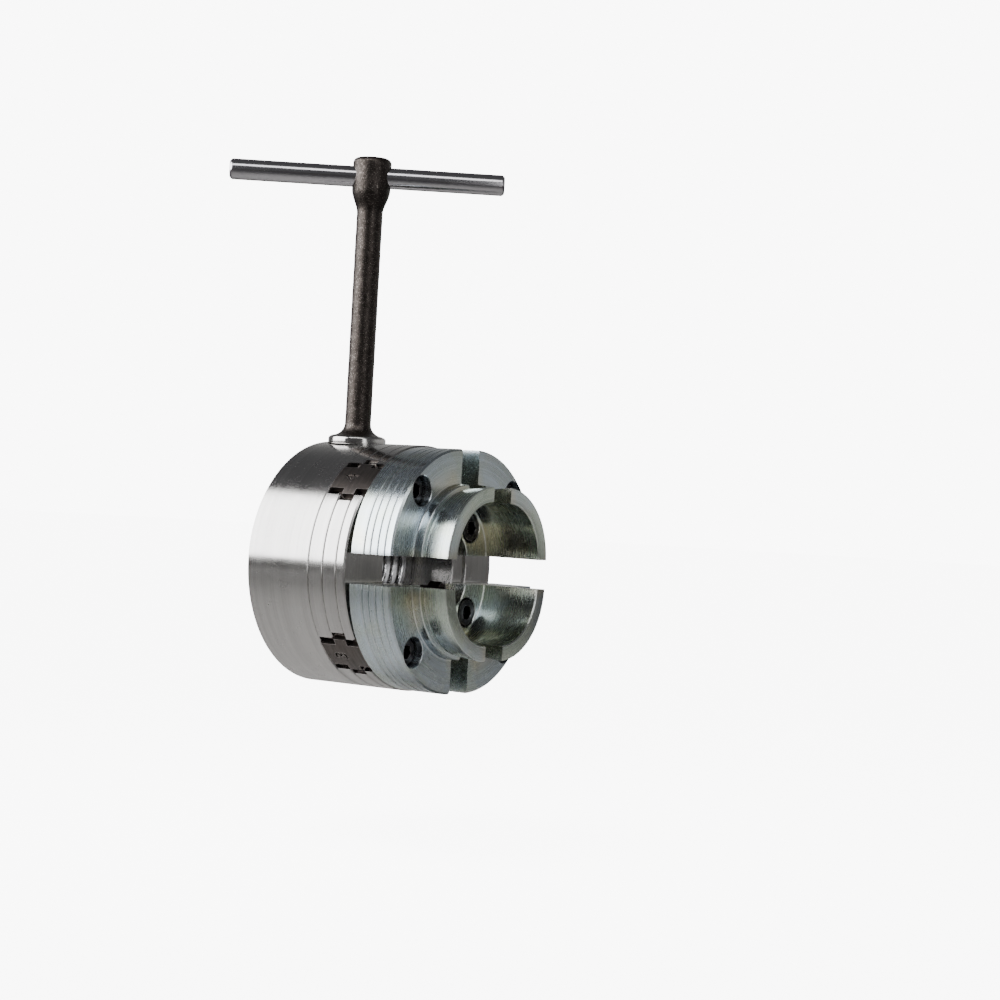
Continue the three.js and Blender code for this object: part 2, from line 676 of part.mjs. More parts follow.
/** A slide tooth: its outer face is rounder than the scroll's inner turn, its inner one flatter. */
function slideTooth(radius) {
  const half = SLOT_HALF - CLEARANCE;
  const lead = SCROLL_PITCH / (2 * Math.PI) / ((RING_BORE + SCROLL_RADIUS) / 2);
  const side = (offset, bend) => Array.from({ length: 7 }, (_, i) => {
    const y = half * (i - 3) / 3;
    return [y, radius + offset + lead * y - y * y / (2 * bend)];
  });
  const outer = side(SLIDE_TOOTH / 2, RING_BORE + SCROLL_RIDGE / 2);
  const inner = side(-SLIDE_TOOTH / 2, SCROLL_RADIUS + SCROLL_RIDGE);
  return carried([...inner, ...outer.reverse()], SLIDE_TEETH_FACE, SLIDE_BACK + WELD);
}

function jawSlide(number) {
  const wide = slideSection(0, SLIDE_FRONT);
  const narrow = slideSection(0, SLIDE_FRONT).map(([x, y]) => [x, y - Math.sign(y) * SLIDE_RELIEF]);
  const relief = BODY_RADIUS - SLIDE_RELIEF_LENGTH;
  const whole = raised(wide, SLIDE_INNER, relief)
    .add(raised(narrow, relief - WELD, BODY_RADIUS + OVERRUN))
    .intersect(rodX(BODY_RADIUS, 0, NOSE_FRONT, FINE));
  const radii = slideToothRadii(number);
  let slide = whole.subtract(block(
    [SLIDE_TEETH_FACE - OVERRUN, SLIDE_BACK],
    [-WING_HALF, WING_HALF],
    [SLIDE_INNER - OVERRUN, radii[radii.length - 1]],
  ));
  for (const radius of radii) {
    slide = slide.add(slideTooth(radius).intersect(whole));
  }
  for (const { radius } of SCREWS) {
    const bottom = SLIDE_FRONT - TAPPED_DEPTH;
    slide = slide.subtract(rodX(SCREW_BORE, bottom, SLIDE_FRONT + OVERRUN, SMALL, 0, radius + JAW_OPENING));
  }
  return piece(`jaw_slide_${number}`, slide, 'slide');
}

function jawSolid() {
  const whole = turnedX([
    [JAW_EYE, JAW_REAR],
    [JAW_RADIUS - JAW_EDGE, JAW_REAR],
    [JAW_RADIUS, JAW_REAR + JAW_EDGE],
    [JAW_RADIUS, JAW_FRONT - JAW_EDGE],
    [JAW_RADIUS - JAW_EDGE, JAW_FRONT],
    [SHOULDER_RADIUS, JAW_FRONT],
    [SHOULDER_RADIUS, JAW_FRONT + SHOULDER_LENGTH],
    [NECK_RADIUS, JAW_FRONT + SHOULDER_LENGTH + NECK_LENGTH],
    [NOSE_RADIUS, NOSE_FRONT - JAW_EDGE],
    [NOSE_RADIUS - JAW_EDGE, NOSE_FRONT],
    [NOSE_BORE - 0.5, NOSE_FRONT],
    [NOSE_BORE, NOSE_FRONT - NOSE_LENGTH],
    [NOSE_BORE, JAW_REAR + JAW_FLOOR],
    [JAW_EYE, JAW_REAR + JAW_FLOOR],
  ], FINE);
  const near = SAW_CUT / Math.SQRT2;
  const far = 2 * JAW_RADIUS;
  const wedge = [[0, near], [far, near + far], [-far, near + far]];
  const quarter = carried(wedge, JAW_REAR - OVERRUN, NOSE_FRONT + OVERRUN);
  let jaw = whole.intersect(quarter);
  for (const { radius, seat } of SCREWS) {
    const hole = rodX(SCREW_BORE, JAW_REAR - OVERRUN, JAW_FRONT + OVERRUN, SMALL, 0, radius);
    const pocket = rodX(COUNTERBORE, JAW_REAR + seat, JAW_FRONT + OVERRUN, SMALL, 0, radius);
    jaw = jaw.subtract(hole).subtract(pocket);
  }
  return jaw;
}

function capScrewSolid() {
  const socket = carried(hexagon(SCREW_HEX), SCREW_HEAD - SCREW_HEX_DEPTH, SCREW_HEAD + OVERRUN);
  return turnedX([
    [0, -SCREW_LENGTH],
    [SCREW_RADIUS, -SCREW_LENGTH],
    [SCREW_RADIUS, 0],
    [SCREW_HEAD_RADIUS, 0],
    [SCREW_HEAD_RADIUS, SCREW_HEAD - 0.5],
    [SCREW_HEAD_RADIUS - 0.5, SCREW_HEAD],
    [0, SCREW_HEAD],
  ], SMALL).subtract(socket);
}

/** One slide with its jaw and two cap screws, turned to its place about the spindle axis. */
function jawUnit(number, jaw, screw) {
  const unit = new THREE.Group();
  unit.rotation.x = jawAngle(number);
  unit.add(jawSlide(number));
  const top = piece(`jaw_${number}`, jaw, 'jaw');
  top.position.z = JAW_OPENING;
  unit.add(top);
  for (const { end, radius, seat } of SCREWS) {
    const mesh = piece(`jaw_screw_${number}_${end}`, screw, 'screw');
    mesh.position.set(JAW_REAR + seat + CLEARANCE, 0, radius + JAW_OPENING);
    unit.add(mesh);
  }
  return unit;
}

// ---------------------------------------------------------------- the chuck

function latheChuck() {
  const chuck = new THREE.Group();
  chuck.position.x = FLANGE_LENGTH;
  chuck.add(chuckBody(), rearCover(), ...rearCoverScrews());
  chuck.add(spindleInsert(), spindleLockScrew());
  chuck.add(scrollRing(), retainingRing(), bevelPinion(), pinionRetainingPin());
  const jaw = jawSolid();
  const screw = capScrewSolid();
  for (let number = 1; number <= JAW_COUNT; number += 1) {
    chuck.add(jawUnit(number, jaw, screw));
  }
  chuck.add(chuckKey());
  return chuck;
}

const group = latheChuck();

export default group;
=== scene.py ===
"""Looks of a four-jaw geared scroll chuck for a wood lathe, with its T-handled key.

Sizes are in millimetres, and each mesh is scaled to metres when it is handed over. X is the spindle
axis and points to the work, Z is up and is the key's axis. Stations along X are measured from the
rear face of the chuck's body, and heights on the key from its seat.
"""

import logging
import math
from collections.abc import Callable, Iterable
from dataclasses import dataclass
from enum import Enum
from typing import Any, ClassVar

import bmesh
import bpy
from mathutils import Matrix, Vector


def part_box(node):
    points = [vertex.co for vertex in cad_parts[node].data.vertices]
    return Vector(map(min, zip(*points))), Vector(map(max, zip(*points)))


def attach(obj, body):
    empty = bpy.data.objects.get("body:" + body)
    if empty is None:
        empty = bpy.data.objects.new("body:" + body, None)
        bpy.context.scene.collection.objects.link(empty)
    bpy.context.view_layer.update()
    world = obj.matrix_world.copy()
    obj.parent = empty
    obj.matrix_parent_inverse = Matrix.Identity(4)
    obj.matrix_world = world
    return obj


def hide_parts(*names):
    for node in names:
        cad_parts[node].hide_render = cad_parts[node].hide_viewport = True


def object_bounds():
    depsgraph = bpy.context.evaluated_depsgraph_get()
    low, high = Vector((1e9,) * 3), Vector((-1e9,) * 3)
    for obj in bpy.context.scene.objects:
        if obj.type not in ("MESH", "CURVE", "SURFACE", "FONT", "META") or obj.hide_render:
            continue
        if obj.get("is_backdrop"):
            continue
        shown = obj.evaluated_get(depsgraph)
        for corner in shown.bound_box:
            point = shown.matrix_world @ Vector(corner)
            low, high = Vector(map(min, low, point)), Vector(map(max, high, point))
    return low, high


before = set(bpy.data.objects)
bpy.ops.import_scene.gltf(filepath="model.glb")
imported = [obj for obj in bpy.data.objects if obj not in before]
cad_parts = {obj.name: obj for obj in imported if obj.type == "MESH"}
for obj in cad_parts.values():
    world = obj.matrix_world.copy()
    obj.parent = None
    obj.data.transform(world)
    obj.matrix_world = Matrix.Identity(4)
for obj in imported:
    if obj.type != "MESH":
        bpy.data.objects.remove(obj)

log = logging.getLogger("chuck")

MM = 0.001
OVERRUN = 1.0           # how far a cutter runs past the face it breaks
WELD = 0.4              # how far two joined solids reach into each other
NUDGE = 0.2             # how far a small cutter runs past its face
SHAVE = 0.001           # how far a cutter stands off a face that it lies along
MERGE = 0.0004          # points closer than this are one point
SHARP_ANGLE = math.radians(28)
BREAK = 0.3             # size of a lightly broken edge
CHAMFER = 0.4           # size of a plain chamfer
THREAD_FLANK = 1.3      # over 1, it leaves a thread a flat root

FINE = 288              # facets round a large turned surface
MEDIUM = 96             # facets round a bore or a pocket
SMALL = 48              # facets round a screw or a small hole

Point = tuple[float, float]
Outline = list[Point]
Colour = tuple[float, float, float]
Ripple = Callable[[float, float, float], float]


# ------------ shaping


def placed(name: str, data: bpy.types.ID) -> bpy.types.Object:
    """A new object in the scene.

    Args:
        name: its name.
        data: its mesh, light, text or camera.

    Returns:
        The object.
    """
    thing = bpy.data.objects.new(name, data)
    bpy.context.scene.collection.objects.link(thing)
    return thing


class Axis(Enum):
    """The axis that a form was turned about."""

    SPINDLE = "X"
    KEY = "Z"

    def place(self, radius: float, along: float, turn: float) -> Vector:
        """A point on the turned surface.

        Args:
            radius: distance from the axis.
            along: station along the axis.
            turn: angle about the axis; on the spindle axis zero is straight up.

        Returns:
            The point, in millimetres.
        """
        if self is Axis.SPINDLE:
            return Vector((along, -radius * math.sin(turn), radius * math.cos(turn)))
        return Vector((radius * math.cos(turn), radius * math.sin(turn), along))


class Operation(Enum):
    """How one solid works on another."""

    CUT = "DIFFERENCE"
    JOIN = "UNION"
    KEEP = "INTERSECT"


class Blank:
    """A closed solid under work, in millimetres, which other solids are cut from or joined to."""

    def __init__(self, form: bmesh.types.BMesh) -> None:
        """Takes over a closed form.

        Args:
            form: the form, which is freed.
        """
        bmesh.ops.remove_doubles(form, verts=form.verts, dist=MERGE)
        bmesh.ops.recalc_face_normals(form, faces=form.faces)
        mesh = bpy.data.meshes.new("blank")
        form.to_mesh(mesh)
        form.free()
        self.body = placed("blank", mesh)

    @classmethod
    def turned(cls, outline: Outline, facets: int, axis: Axis = Axis.SPINDLE,
               ripple: Ripple | None = None) -> "Blank":
        """A solid of revolution.

        Args:
            outline: a closed outline of (radius, station) points.
            facets: how many facets go round it.
            axis: what it is turned about.
            ripple: gives the true radius from (radius, station, turn), for threads and knurls.

        Returns:
            The solid.
        """
        form = bmesh.new()
        rings = []
        for radius, along in outline:
            ring = []
            for step in range(facets):
                turn = math.tau * step / facets
                true = ripple(radius, along, turn) if ripple else radius
                ring.append(form.verts.new(axis.place(true, along, turn)))
            rings.append(ring)
        for index, ring in enumerate(rings):
            other = rings[(index + 1) % len(rings)]
            for step in range(facets):
                after = (step + 1) % facets
                form.faces.new((ring[step], ring[after], other[after], other[step]))
        return cls(form)

    @classmethod
    def rod(cls, radius: float, start: float, end: float, facets: int,
            axis: Axis = Axis.SPINDLE, at: Point = (0.0, 0.0)) -> "Blank":
        """A round bar.

        Args:
            radius: its radius.
            start: station of its first end.
            end: station of its other end.
            facets: how many facets go round it.
            axis: the axis it lies along.
            at: where its centre is, as (y, z) on the spindle axis and (x, y) on the key's.

        Returns:
            The solid.
        """
        outline = [(0.0, start), (radius, start), (radius, end), (0.0, end)]
        shift = (0.0, *at) if axis is Axis.SPINDLE else (*at, 0.0)
        return cls.turned(outline, facets, axis).moved(Matrix.Translation(shift))

    @classmethod
    def lofted(cls, first: list[Vector], last: list[Vector]) -> "Blank":
        """A solid between two outlines of as many points.

        Args:
            first: points of the first end, in order.
            last: points of the other end, in the same order.

        Returns:
            The solid.
        """
        form = bmesh.new()
        start = [form.verts.new(point) for point in first]
        end = [form.verts.new(point) for point in last]
        form.faces.new(start)
        form.faces.new(end)
        for index in range(len(start)):
            after = (index + 1) % len(start)
            form.faces.new((start[index], start[after], end[after], end[index]))
        return cls(form)

    @classmethod
    def prism(cls, outline: Outline, start: float, end: float, axis: Axis) -> "Blank":
        """An outline carried along an axis.

        Args:
            outline: (y, z) points on the spindle axis, (x, y) points on the key's.
            start: station of its first end.
            end: station of its other end.
            axis: the axis it is carried along.

        Returns:
            The solid.
        """
        def at(along: float) -> list[Vector]:
            """The outline's points at one station."""
            if axis is Axis.SPINDLE:
                return [Vector((along, u, v)) for u, v in outline]
            return [Vector((u, v, along)) for u, v in outline]

        return cls.lofted(at(start), at(end))

    @classmethod
    def box(cls, x: Point, y: Point, z: Point) -> "Blank":
        """A box from its three (low, high) spans."""
        corners = [(x[0], y[0]), (x[1], y[0]), (x[1], y[1]), (x[0], y[1])]
        return cls.prism(corners, z[0], z[1], Axis.KEY)

    def moved(self, matrix: Matrix) -> "Blank":
        """The same solid, moved by a matrix."""
        self.body.data.transform(matrix)
        return self

    def copied(self, matrix: Matrix) -> "Blank":
        """A copy of the solid, moved by a matrix.

        Args:
            matrix: where the copy goes.

        Returns:
            The copy.
        """
        twin = object.__new__(Blank)
        twin.body = placed("blank", self.body.data.copy())
        return twin.moved(matrix)

    def around(self, count: int, start: float = 0.0) -> "list[Blank]":
        """Copies spaced evenly about the spindle axis; the solid itself is used up.

        Args:
            count: how many.
            start: the first one's angle.

        Returns:
            The copies.
        """
        copies = [
            self.copied(Matrix.Rotation(start + math.tau * index / count, 4, "X"))
            for index in range(count)
        ]
        self.scrap()
        return copies

    def scrap(self) -> None:
        """Removes the solid."""
        bpy.data.objects.remove(self.body)

    def _work(self, operation: Operation, tools: "Iterable[Blank]") -> "Blank":
        """Works on this solid with others, which are used up.

        Args:
            operation: what the tools do.
            tools: the solids that do it.

        Returns:
            This solid.
        """
        used = list(tools)
        for tool in used:
            step = self.body.modifiers.new(operation.name, "BOOLEAN")
            step.operation = operation.value
            step.solver = "MANIFOLD"
            step.object = tool.body
        bpy.context.view_layer.update()
        worked = self.body.evaluated_get(bpy.context.evaluated_depsgraph_get())
        mesh = bpy.data.meshes.new_from_object(worked)
        self.body.modifiers.clear()
        self.body.data = mesh
        for tool in used:
            tool.scrap()
        return self

    def cut(self, *tools: "Blank") -> "Blank":
        """Cuts the tools away from this solid."""
        return self._work(Operation.CUT, tools)

    def join(self, *tools: "Blank") -> "Blank":
        """Joins the tools to this solid."""
        return self._work(Operation.JOIN, tools)

    def keep(self, *tools: "Blank") -> "Blank":
        """Keeps only what lies inside the tools."""
        return self._work(Operation.KEEP, tools)

    def mesh(self) -> bpy.types.Mesh:
        """Hands the finished mesh over, in metres, with smooth faces and sharp edges.

        Returns:
            The mesh; the solid is used up.
        """
        mesh = self.body.data
        form = bmesh.new()
        form.from_mesh(mesh)
        bmesh.ops.remove_doubles(form, verts=form.verts, dist=MERGE)
        bmesh.ops.dissolve_degenerate(form, edges=form.edges, dist=MERGE)
        form.to_mesh(mesh)
        form.free()
        mesh.materials.clear()
        mesh.transform(Matrix.Scale(MM, 4))
        mesh.shade_smooth()
        mesh.set_sharp_from_angle(angle=SHARP_ANGLE)
        self.scrap()
        return mesh


def grooved(radius: float, stations: Iterable[float], width: float, depth: float) -> Outline:
    """The part of an outline that has V-grooves in a straight turned surface.

    Args:
        radius: the surface's radius.
        stations: where the grooves are, in order.
        width: width of a groove at the surface.
        depth: depth of a groove.

    Returns:
        Its (radius, station) points.
    """
    points = []
    for station in stations:
        rear, front = station - width / 2, station + width / 2
        points += [(radius, rear), (radius - depth, station), (radius, front)]
    return points


def rounded(corner: Point, before: Point, after: Point, radius: float, steps: int = 4) -> Outline:
    """A round in place of a corner of an outline.

    Args:
        corner: the corner.
        before: the outline's point before it.
        after: the outline's point after it.
        radius: how far from the corner the round starts.
        steps: how many short sides it has.

    Returns:
        The points that replace the corner.
    """
    place = Vector(corner)
    start = place + (Vector(before) - place).normalized() * radius
    end = place + (Vector(after) - place).normalized() * radius
    points = []
    for step in range(steps + 1):
        share = step / steps
        point = start * (1 - share) ** 2 + place * 2 * share * (1 - share) + end * share ** 2
        points.append((point.x, point.y))
    return points


def softened(outline: Outline, rounds: dict[int, float]) -> Outline:
    """An outline with some of its corners rounded.

    Args:
        outline: the closed outline.
        rounds: the size of the round at each corner's index.

    Returns:
        The new outline.
    """
    points = []
    for index, corner in enumerate(outline):
        if index in rounds:
            after = outline[(index + 1) % len(outline)]
            points += rounded(corner, outline[index - 1], after, rounds[index])
        else:
            points.append(corner)
    return points


def polygon(sides: int, across: float, turn: float = 0.0) -> Outline:
    """A regular outline of an even number of sides.

    Args:
        sides: how many sides.
        across: distance across its flats.
        turn: how far its first corner is turned.

    Returns:
        Its points.
    """
    corner = across / 2 / math.cos(math.pi / sides)
    angles = [turn + math.tau * index / sides for index in range(sides)]
    return [(corner * math.cos(angle), corner * math.sin(angle)) for angle in angles]


def quarter_turn(steps: int) -> list[float]:
    """The angles that split a quarter turn into steps, without the first."""
    return [math.pi / 2 * step / steps for step in range(1, steps + 1)]


def threadable(radius: float, start: float, end: float, sides: int) -> Outline:
    """A straight side of an outline, split into short sides for a thread to show."""
    return [(radius, start + (end - start) * step / sides) for step in range(sides + 1)]


def socket(across: float, top: float, depth: float) -> Blank:
    """A cutter for a hexagon socket with a drilled, pointed bottom, along the spindle axis.

    Args:
        across: size across its flats.
        top: station of its mouth.
        depth: depth of its flats.

    Returns:
        The cutter.
    """
    drilled = across * 0.45
    bottom = top - depth
    drill = Blank.turned(
        [(0.0, bottom - drilled / 2), (drilled, bottom), (drilled, top), (0.0, top)], SMALL,
    )
    flats = Blank.prism(polygon(6, across), bottom, top + OVERRUN, Axis.SPINDLE)
    inner, outer = across / 2, across / 2 + 2 * BREAK
    mouth = Blank.turned(
        [(0.0, top - BREAK), (inner, top - BREAK), (outer, top + BREAK), (0.0, top + BREAK)], SMALL,
    )
    return flats.join(drill, mouth)


def helix(pitch: float, depth: float, start: float, end: float, fade: float) -> Ripple:
    """The ripple of a screw thread.

    Args:
        pitch: advance in a turn.
        depth: depth of the thread; a negative one stands out of a bore.
        start: station where the thread starts.
        end: station where it ends.
        fade: length of its run-out at each end.

    Returns:
        The ripple.
    """
    def radius_at(radius: float, along: float, turn: float) -> float:
        """The radius of the threaded surface at a point of it."""
        inside = min(along - start, end - along) / fade
        if inside <= 0:
            return radius
        phase = (along / pitch - turn / math.tau) % 1.0
        return radius - depth * min(inside, 1.0) * min(abs(2 * phase - 1) * THREAD_FLANK, 1.0)

    return radius_at


# ------------ shader effects


class Board:
    """A node tree that is being wired."""

    COLOUR_A = 6            # the sockets of a Mix node that hold its colours
    COLOUR_B = 7
    COLOUR_OUT = 2

    def __init__(self, tree: bpy.types.NodeTree) -> None:
        """Takes the tree to wire."""
        self.tree = tree

    def add(self, kind: str, **settings: Any) -> bpy.types.Node:
        """Adds a node.

        Args:
            kind: its type.
            **settings: its properties.

        Returns:
            The node.
        """
        node = self.tree.nodes.new(kind)
        for name, value in settings.items():
            setattr(node, name, value)
        return node

    def feed(self, inlet: bpy.types.NodeSocket, value: Any) -> None:
        """Sets an input socket, or links it when the value is another socket."""
        if isinstance(value, bpy.types.NodeSocket):
            self.tree.links.new(value, inlet)
        else:
            inlet.default_value = value

    def maths(self, operation: str, *values: Any, clamp: bool = False) -> bpy.types.NodeSocket:
        """A Math node's result.

        Args:
            operation: what it does.
            *values: its numbers or sockets.
            clamp: whether the result stays within 0 and 1.

        Returns:
            The result.
        """
        node = self.add("ShaderNodeMath", operation=operation, use_clamp=clamp)
        for inlet, value in zip(node.inputs, values):
            self.feed(inlet, value)
        return node.outputs[0]

    def vector(self, operation: str, *values: Any) -> bpy.types.Node:
        """A Vector Math node, wired.

        Args:
            operation: what it does.
            *values: its vectors or sockets.

        Returns:
            The node.
        """
        node = self.add("ShaderNodeVectorMath", operation=operation)
        for inlet, value in zip(node.inputs, values):
            self.feed(inlet, value)
        return node

    def remap(self, value: Any, source: Point, target: Point) -> bpy.types.NodeSocket:
        """A value carried from one range to another, held within it.

        Args:
            value: the socket.
            source: the range it has.
            target: the range it gets.

        Returns:
            The result.
        """
        node = self.add("ShaderNodeMapRange", interpolation_type="SMOOTHSTEP")
        for inlet, number in zip(node.inputs, (value, *source, *target)):
            self.feed(inlet, number)
        return node.outputs[0]

    def blend(self, share: Any, first: Any, second: Any, kind: str = "MIX") -> bpy.types.NodeSocket:
        """Two colours mixed.

        Args:
            share: how much of the second.
            first: the first colour.
            second: the second colour.
            kind: how they mix.

        Returns:
            The colour.
        """
        node = self.add("ShaderNodeMix", data_type="RGBA", blend_type=kind)
        self.feed(node.inputs[0], share)
        self.feed(node.inputs[self.COLOUR_A], opaque(first))
        self.feed(node.inputs[self.COLOUR_B], opaque(second))
        return node.outputs[self.COLOUR_OUT]

    def noise(self, vector: Any, scale: Any, detail: float = 2.0, rough: float = 0.5,
              fourth: Any = None) -> bpy.types.NodeSocket:
        """A noise value from 0 to 1.

        Args:
            vector: where it is read.
            scale: its scale.
            detail: how many finer layers it has.
            rough: how strong they are.
            fourth: a fourth coordinate, where it needs one.

        Returns:
            The value.
        """
        node = self.add("ShaderNodeTexNoise", noise_dimensions="3D" if fourth is None else "4D")
        self.feed(node.inputs["Vector"], vector)
        if fourth is not None:
            self.feed(node.inputs["W"], fourth)
        self.feed(node.inputs["Scale"], scale)
        node.inputs["Detail"].default_value = detail
        node.inputs["Roughness"].default_value = rough
        return node.outputs[0]


def opaque(colour: Any) -> Any:
    """A colour with its alpha; a socket is left as it is."""
    return (*colour, 1.0) if isinstance(colour, tuple) and len(colour) == 3 else colour


class Effect:
    """A shader node group that more than one finish uses, built once.

    Attributes:
        takes: the usual value of each input; a vector has none.
        gives: its outputs.
        tree: the group's tree.
    """

    takes: ClassVar[dict[str, Any]] = {}
    gives: ClassVar[tuple[str, ...]] = ()

    def __init__(self) -> None:
        """Builds the group."""
        self.tree = bpy.data.node_groups.new(type(self).__name__, "ShaderNodeTree")
        for label, value in self.takes.items():
            kind = "NodeSocketFloat" if isinstance(value, float) else "NodeSocketColor"
            kind = "NodeSocketVector" if value is None else kind
            inlet = self.tree.interface.new_socket(name=label, in_out="INPUT", socket_type=kind)
            if value is not None:
                inlet.default_value = value
        for label in self.gives:
            kind = "NodeSocketColor" if label == "Colour" else "NodeSocketFloat"
            self.tree.interface.new_socket(name=label, in_out="OUTPUT", socket_type=kind)
        board = Board(self.tree)
        entry = board.add("NodeGroupInput")
        leave = board.add("NodeGroupOutput")
        for label, value in self.wire(board, entry.outputs).items():
            board.feed(leave.inputs[label], value)

    def wire(self, board: Board, entry: Any) -> dict[str, bpy.types.NodeSocket]:
        """Wires the group from its inputs, and gives what feeds each output."""
        raise NotImplementedError

    def place(self, board: Board, **values: Any) -> Any:
        """Puts the group into a material.

        Args:
            board: the material's board.
            **values: what its inputs get.

        Returns:
            Its output sockets.
        """
        node = board.add("ShaderNodeGroup", node_tree=self.tree)
        for label, value in values.items():
            board.feed(node.inputs[label], value)
        return node.outputs


class TurnedGrain(Effect):
    """Tool marks that run round a turned piece, about the X axis of its own coordinates."""

    takes = {"Vector": None, "Pitch": 0.0003, "Drift": 3.0}
    gives = ("Lines", "Bands", "Clouds")

    def wire(self, board: Board, entry: Any) -> dict[str, bpy.types.NodeSocket]:
        """Wires the group.

        Args:
            board: the group's board.
            entry: its input sockets.

        Returns:
            Fine lines, broad bands and soft clouds, each from 0 to 1.
        """
        parts = board.add("ShaderNodeSeparateXYZ")
        board.feed(parts.inputs[0], entry["Vector"])
        along, across, up = parts.outputs
        across_squared = board.maths("MULTIPLY", across, across)
        up_squared = board.maths("MULTIPLY", up, up)
        radius = board.maths("SQRT", board.maths("ADD", across_squared, up_squared))
        safe = board.maths("MAXIMUM", radius, 1e-5)
        cosine = board.maths("DIVIDE", up, safe)
        sine = board.maths("DIVIDE", across, safe)

        def streaks(coarser: float, drift: float, detail: float) -> bpy.types.NodeSocket:
            """Noise drawn out round the axis."""
            step = board.maths("MULTIPLY", entry["Pitch"], coarser)
            wander = board.maths("MULTIPLY", entry["Drift"], drift)
            place = board.add("ShaderNodeCombineXYZ")
            board.feed(place.inputs[0], board.maths("DIVIDE", along, step))
            board.feed(place.inputs[1], board.maths("DIVIDE", radius, step))
            board.feed(place.inputs[2], board.maths("MULTIPLY", cosine, wander))
            fourth = board.maths("MULTIPLY", sine, wander)
            return board.noise(place.outputs[0], 1.0, detail, 0.6, fourth)

        return {
            "Lines": streaks(1.0, 1.0, 2.0),
            "Bands": streaks(7.0, 0.35, 1.0),
            "Clouds": board.noise(entry["Vector"], 55.0, 4.0, 0.6),
        }


class EdgeWear(Effect):
    """Edges rubbed bright, broken up by noise."""

    takes = {"Vector": None, "Reach": 0.0005, "Amount": 0.6}
    gives = ("Mask",)

    def wire(self, board: Board, entry: Any) -> dict[str, bpy.types.NodeSocket]:
        """Wires the group.

        Args:
            board: the group's board.
            entry: its input sockets.

        Returns:
            The mask, from 0 to 1.
        """
        round_over = board.add("ShaderNodeBevel", samples=4)
        board.feed(round_over.inputs["Radius"], entry["Reach"])
        surface = board.add("ShaderNodeNewGeometry")
        facing = board.vector("DOT_PRODUCT", round_over.outputs[0], surface.outputs["Normal"])
        leaning = board.maths("SUBTRACT", 1.0, facing.outputs["Value"])
        edge = board.remap(leaning, (0.01, 0.12), (0.0, 1.0))
        breaks = board.remap(board.noise(entry["Vector"], 700.0, 3.0), (0.3, 0.6), (0.35, 1.0))
        worn = board.maths("MULTIPLY", edge, breaks)
        return {"Mask": board.maths("MULTIPLY", worn, entry["Amount"], clamp=True)}


class Handling(Effect):
    """Finger smudges and thin scratches from use."""

    takes = {"Vector": None, "Size": 0.012}
    gives = ("Smudges", "Scratches")

    def wire(self, board: Board, entry: Any) -> dict[str, bpy.types.NodeSocket]:
        """Wires the group.

        Args:
            board: the group's board.
            entry: its input sockets.

        Returns:
            Smudges and scratches, each from 0 to 1.
        """
        scale = board.maths("DIVIDE", 1.0, entry["Size"])
        smudges = board.noise(entry["Vector"], scale, 4.0, 0.6)
        lines = None
        for turn, stretch in ((0.5, (60.0, 900.0, 700.0)), (1.9, (900.0, 80.0, 600.0))):
            mapping = board.add("ShaderNodeMapping")
            board.feed(mapping.inputs["Vector"], entry["Vector"])
            mapping.inputs["Rotation"].default_value = (turn, turn * 0.7, turn * 1.3)
            mapping.inputs["Scale"].default_value = stretch
            level = board.maths("SUBTRACT", board.noise(mapping.outputs[0], 1.0, 0.0), 0.5)
            thin = board.remap(board.maths("ABSOLUTE", level), (0.0, 0.012), (1.0, 0.0))
            lines = thin if lines is None else board.maths("MAXIMUM", lines, thin)
        patches = board.remap(board.noise(entry["Vector"], 180.0, 1.0), (0.52, 0.66), (0.0, 1.0))
        return {"Smudges": smudges, "Scratches": board.maths("MULTIPLY", lines, patches)}


class ForgedSkin(Effect):
    """The scaly, shot-blasted skin of a forging or a black oxide coat."""

    takes = {"Vector": None, "Grain": 0.0006}
    gives = ("Height", "Specks", "Mottle")

    def wire(self, board: Board, entry: Any) -> dict[str, bpy.types.NodeSocket]:
        """Wires the group.

        Args:
            board: the group's board.
            entry: its input sockets.

        Returns:
            Height, bright specks and broad mottling, each from 0 to 1.
        """
        scale = board.maths("DIVIDE", 1.0, entry["Grain"])
        cells = board.add("ShaderNodeTexVoronoi", feature="SMOOTH_F1")
        board.feed(cells.inputs["Vector"], entry["Vector"])
        board.feed(cells.inputs["Scale"], scale)
        fine = board.noise(entry["Vector"], board.maths("MULTIPLY", scale, 1.7), 3.0, 0.65)
        coarse = board.noise(entry["Vector"], board.maths("MULTIPLY", scale, 0.22), 3.0, 0.6)
        height = board.maths("ADD", board.maths("MULTIPLY", cells.outputs["Distance"], 0.6), fine)
        specks = board.remap(board.noise(entry["Vector"], scale, 2.0, 0.7), (0.56, 0.7), (0.0, 1.0))
        return {"Height": height, "Specks": specks, "Mottle": coarse}


class PlatingTint(Effect):
    """The shifting tints of passivated zinc plate."""

    takes = {
        "Vector": None,
        "Cool": (0.56, 0.64, 0.72, 1.0),
        "Green": (0.58, 0.66, 0.56, 1.0),
        "Gold": (0.80, 0.70, 0.48, 1.0),
    }
    gives = ("Colour",)

    def wire(self, board: Board, entry: Any) -> dict[str, bpy.types.NodeSocket]:
        """Wires the group.

        Args:
            board: the group's board.
            entry: its input sockets.

        Returns:
            The tint.
        """
        broad = board.remap(board.noise(entry["Vector"], 42.0, 3.0, 0.55), (0.38, 0.62), (0.0, 1.0))
        flecks = board.remap(board.noise(entry["Vector"], 36.0, 2.0, 0.5), (0.5, 0.7), (0.0, 0.6))
        base = board.blend(broad, entry["Cool"], entry["Green"])
        return {"Colour": board.blend(flecks, base, entry["Gold"])}


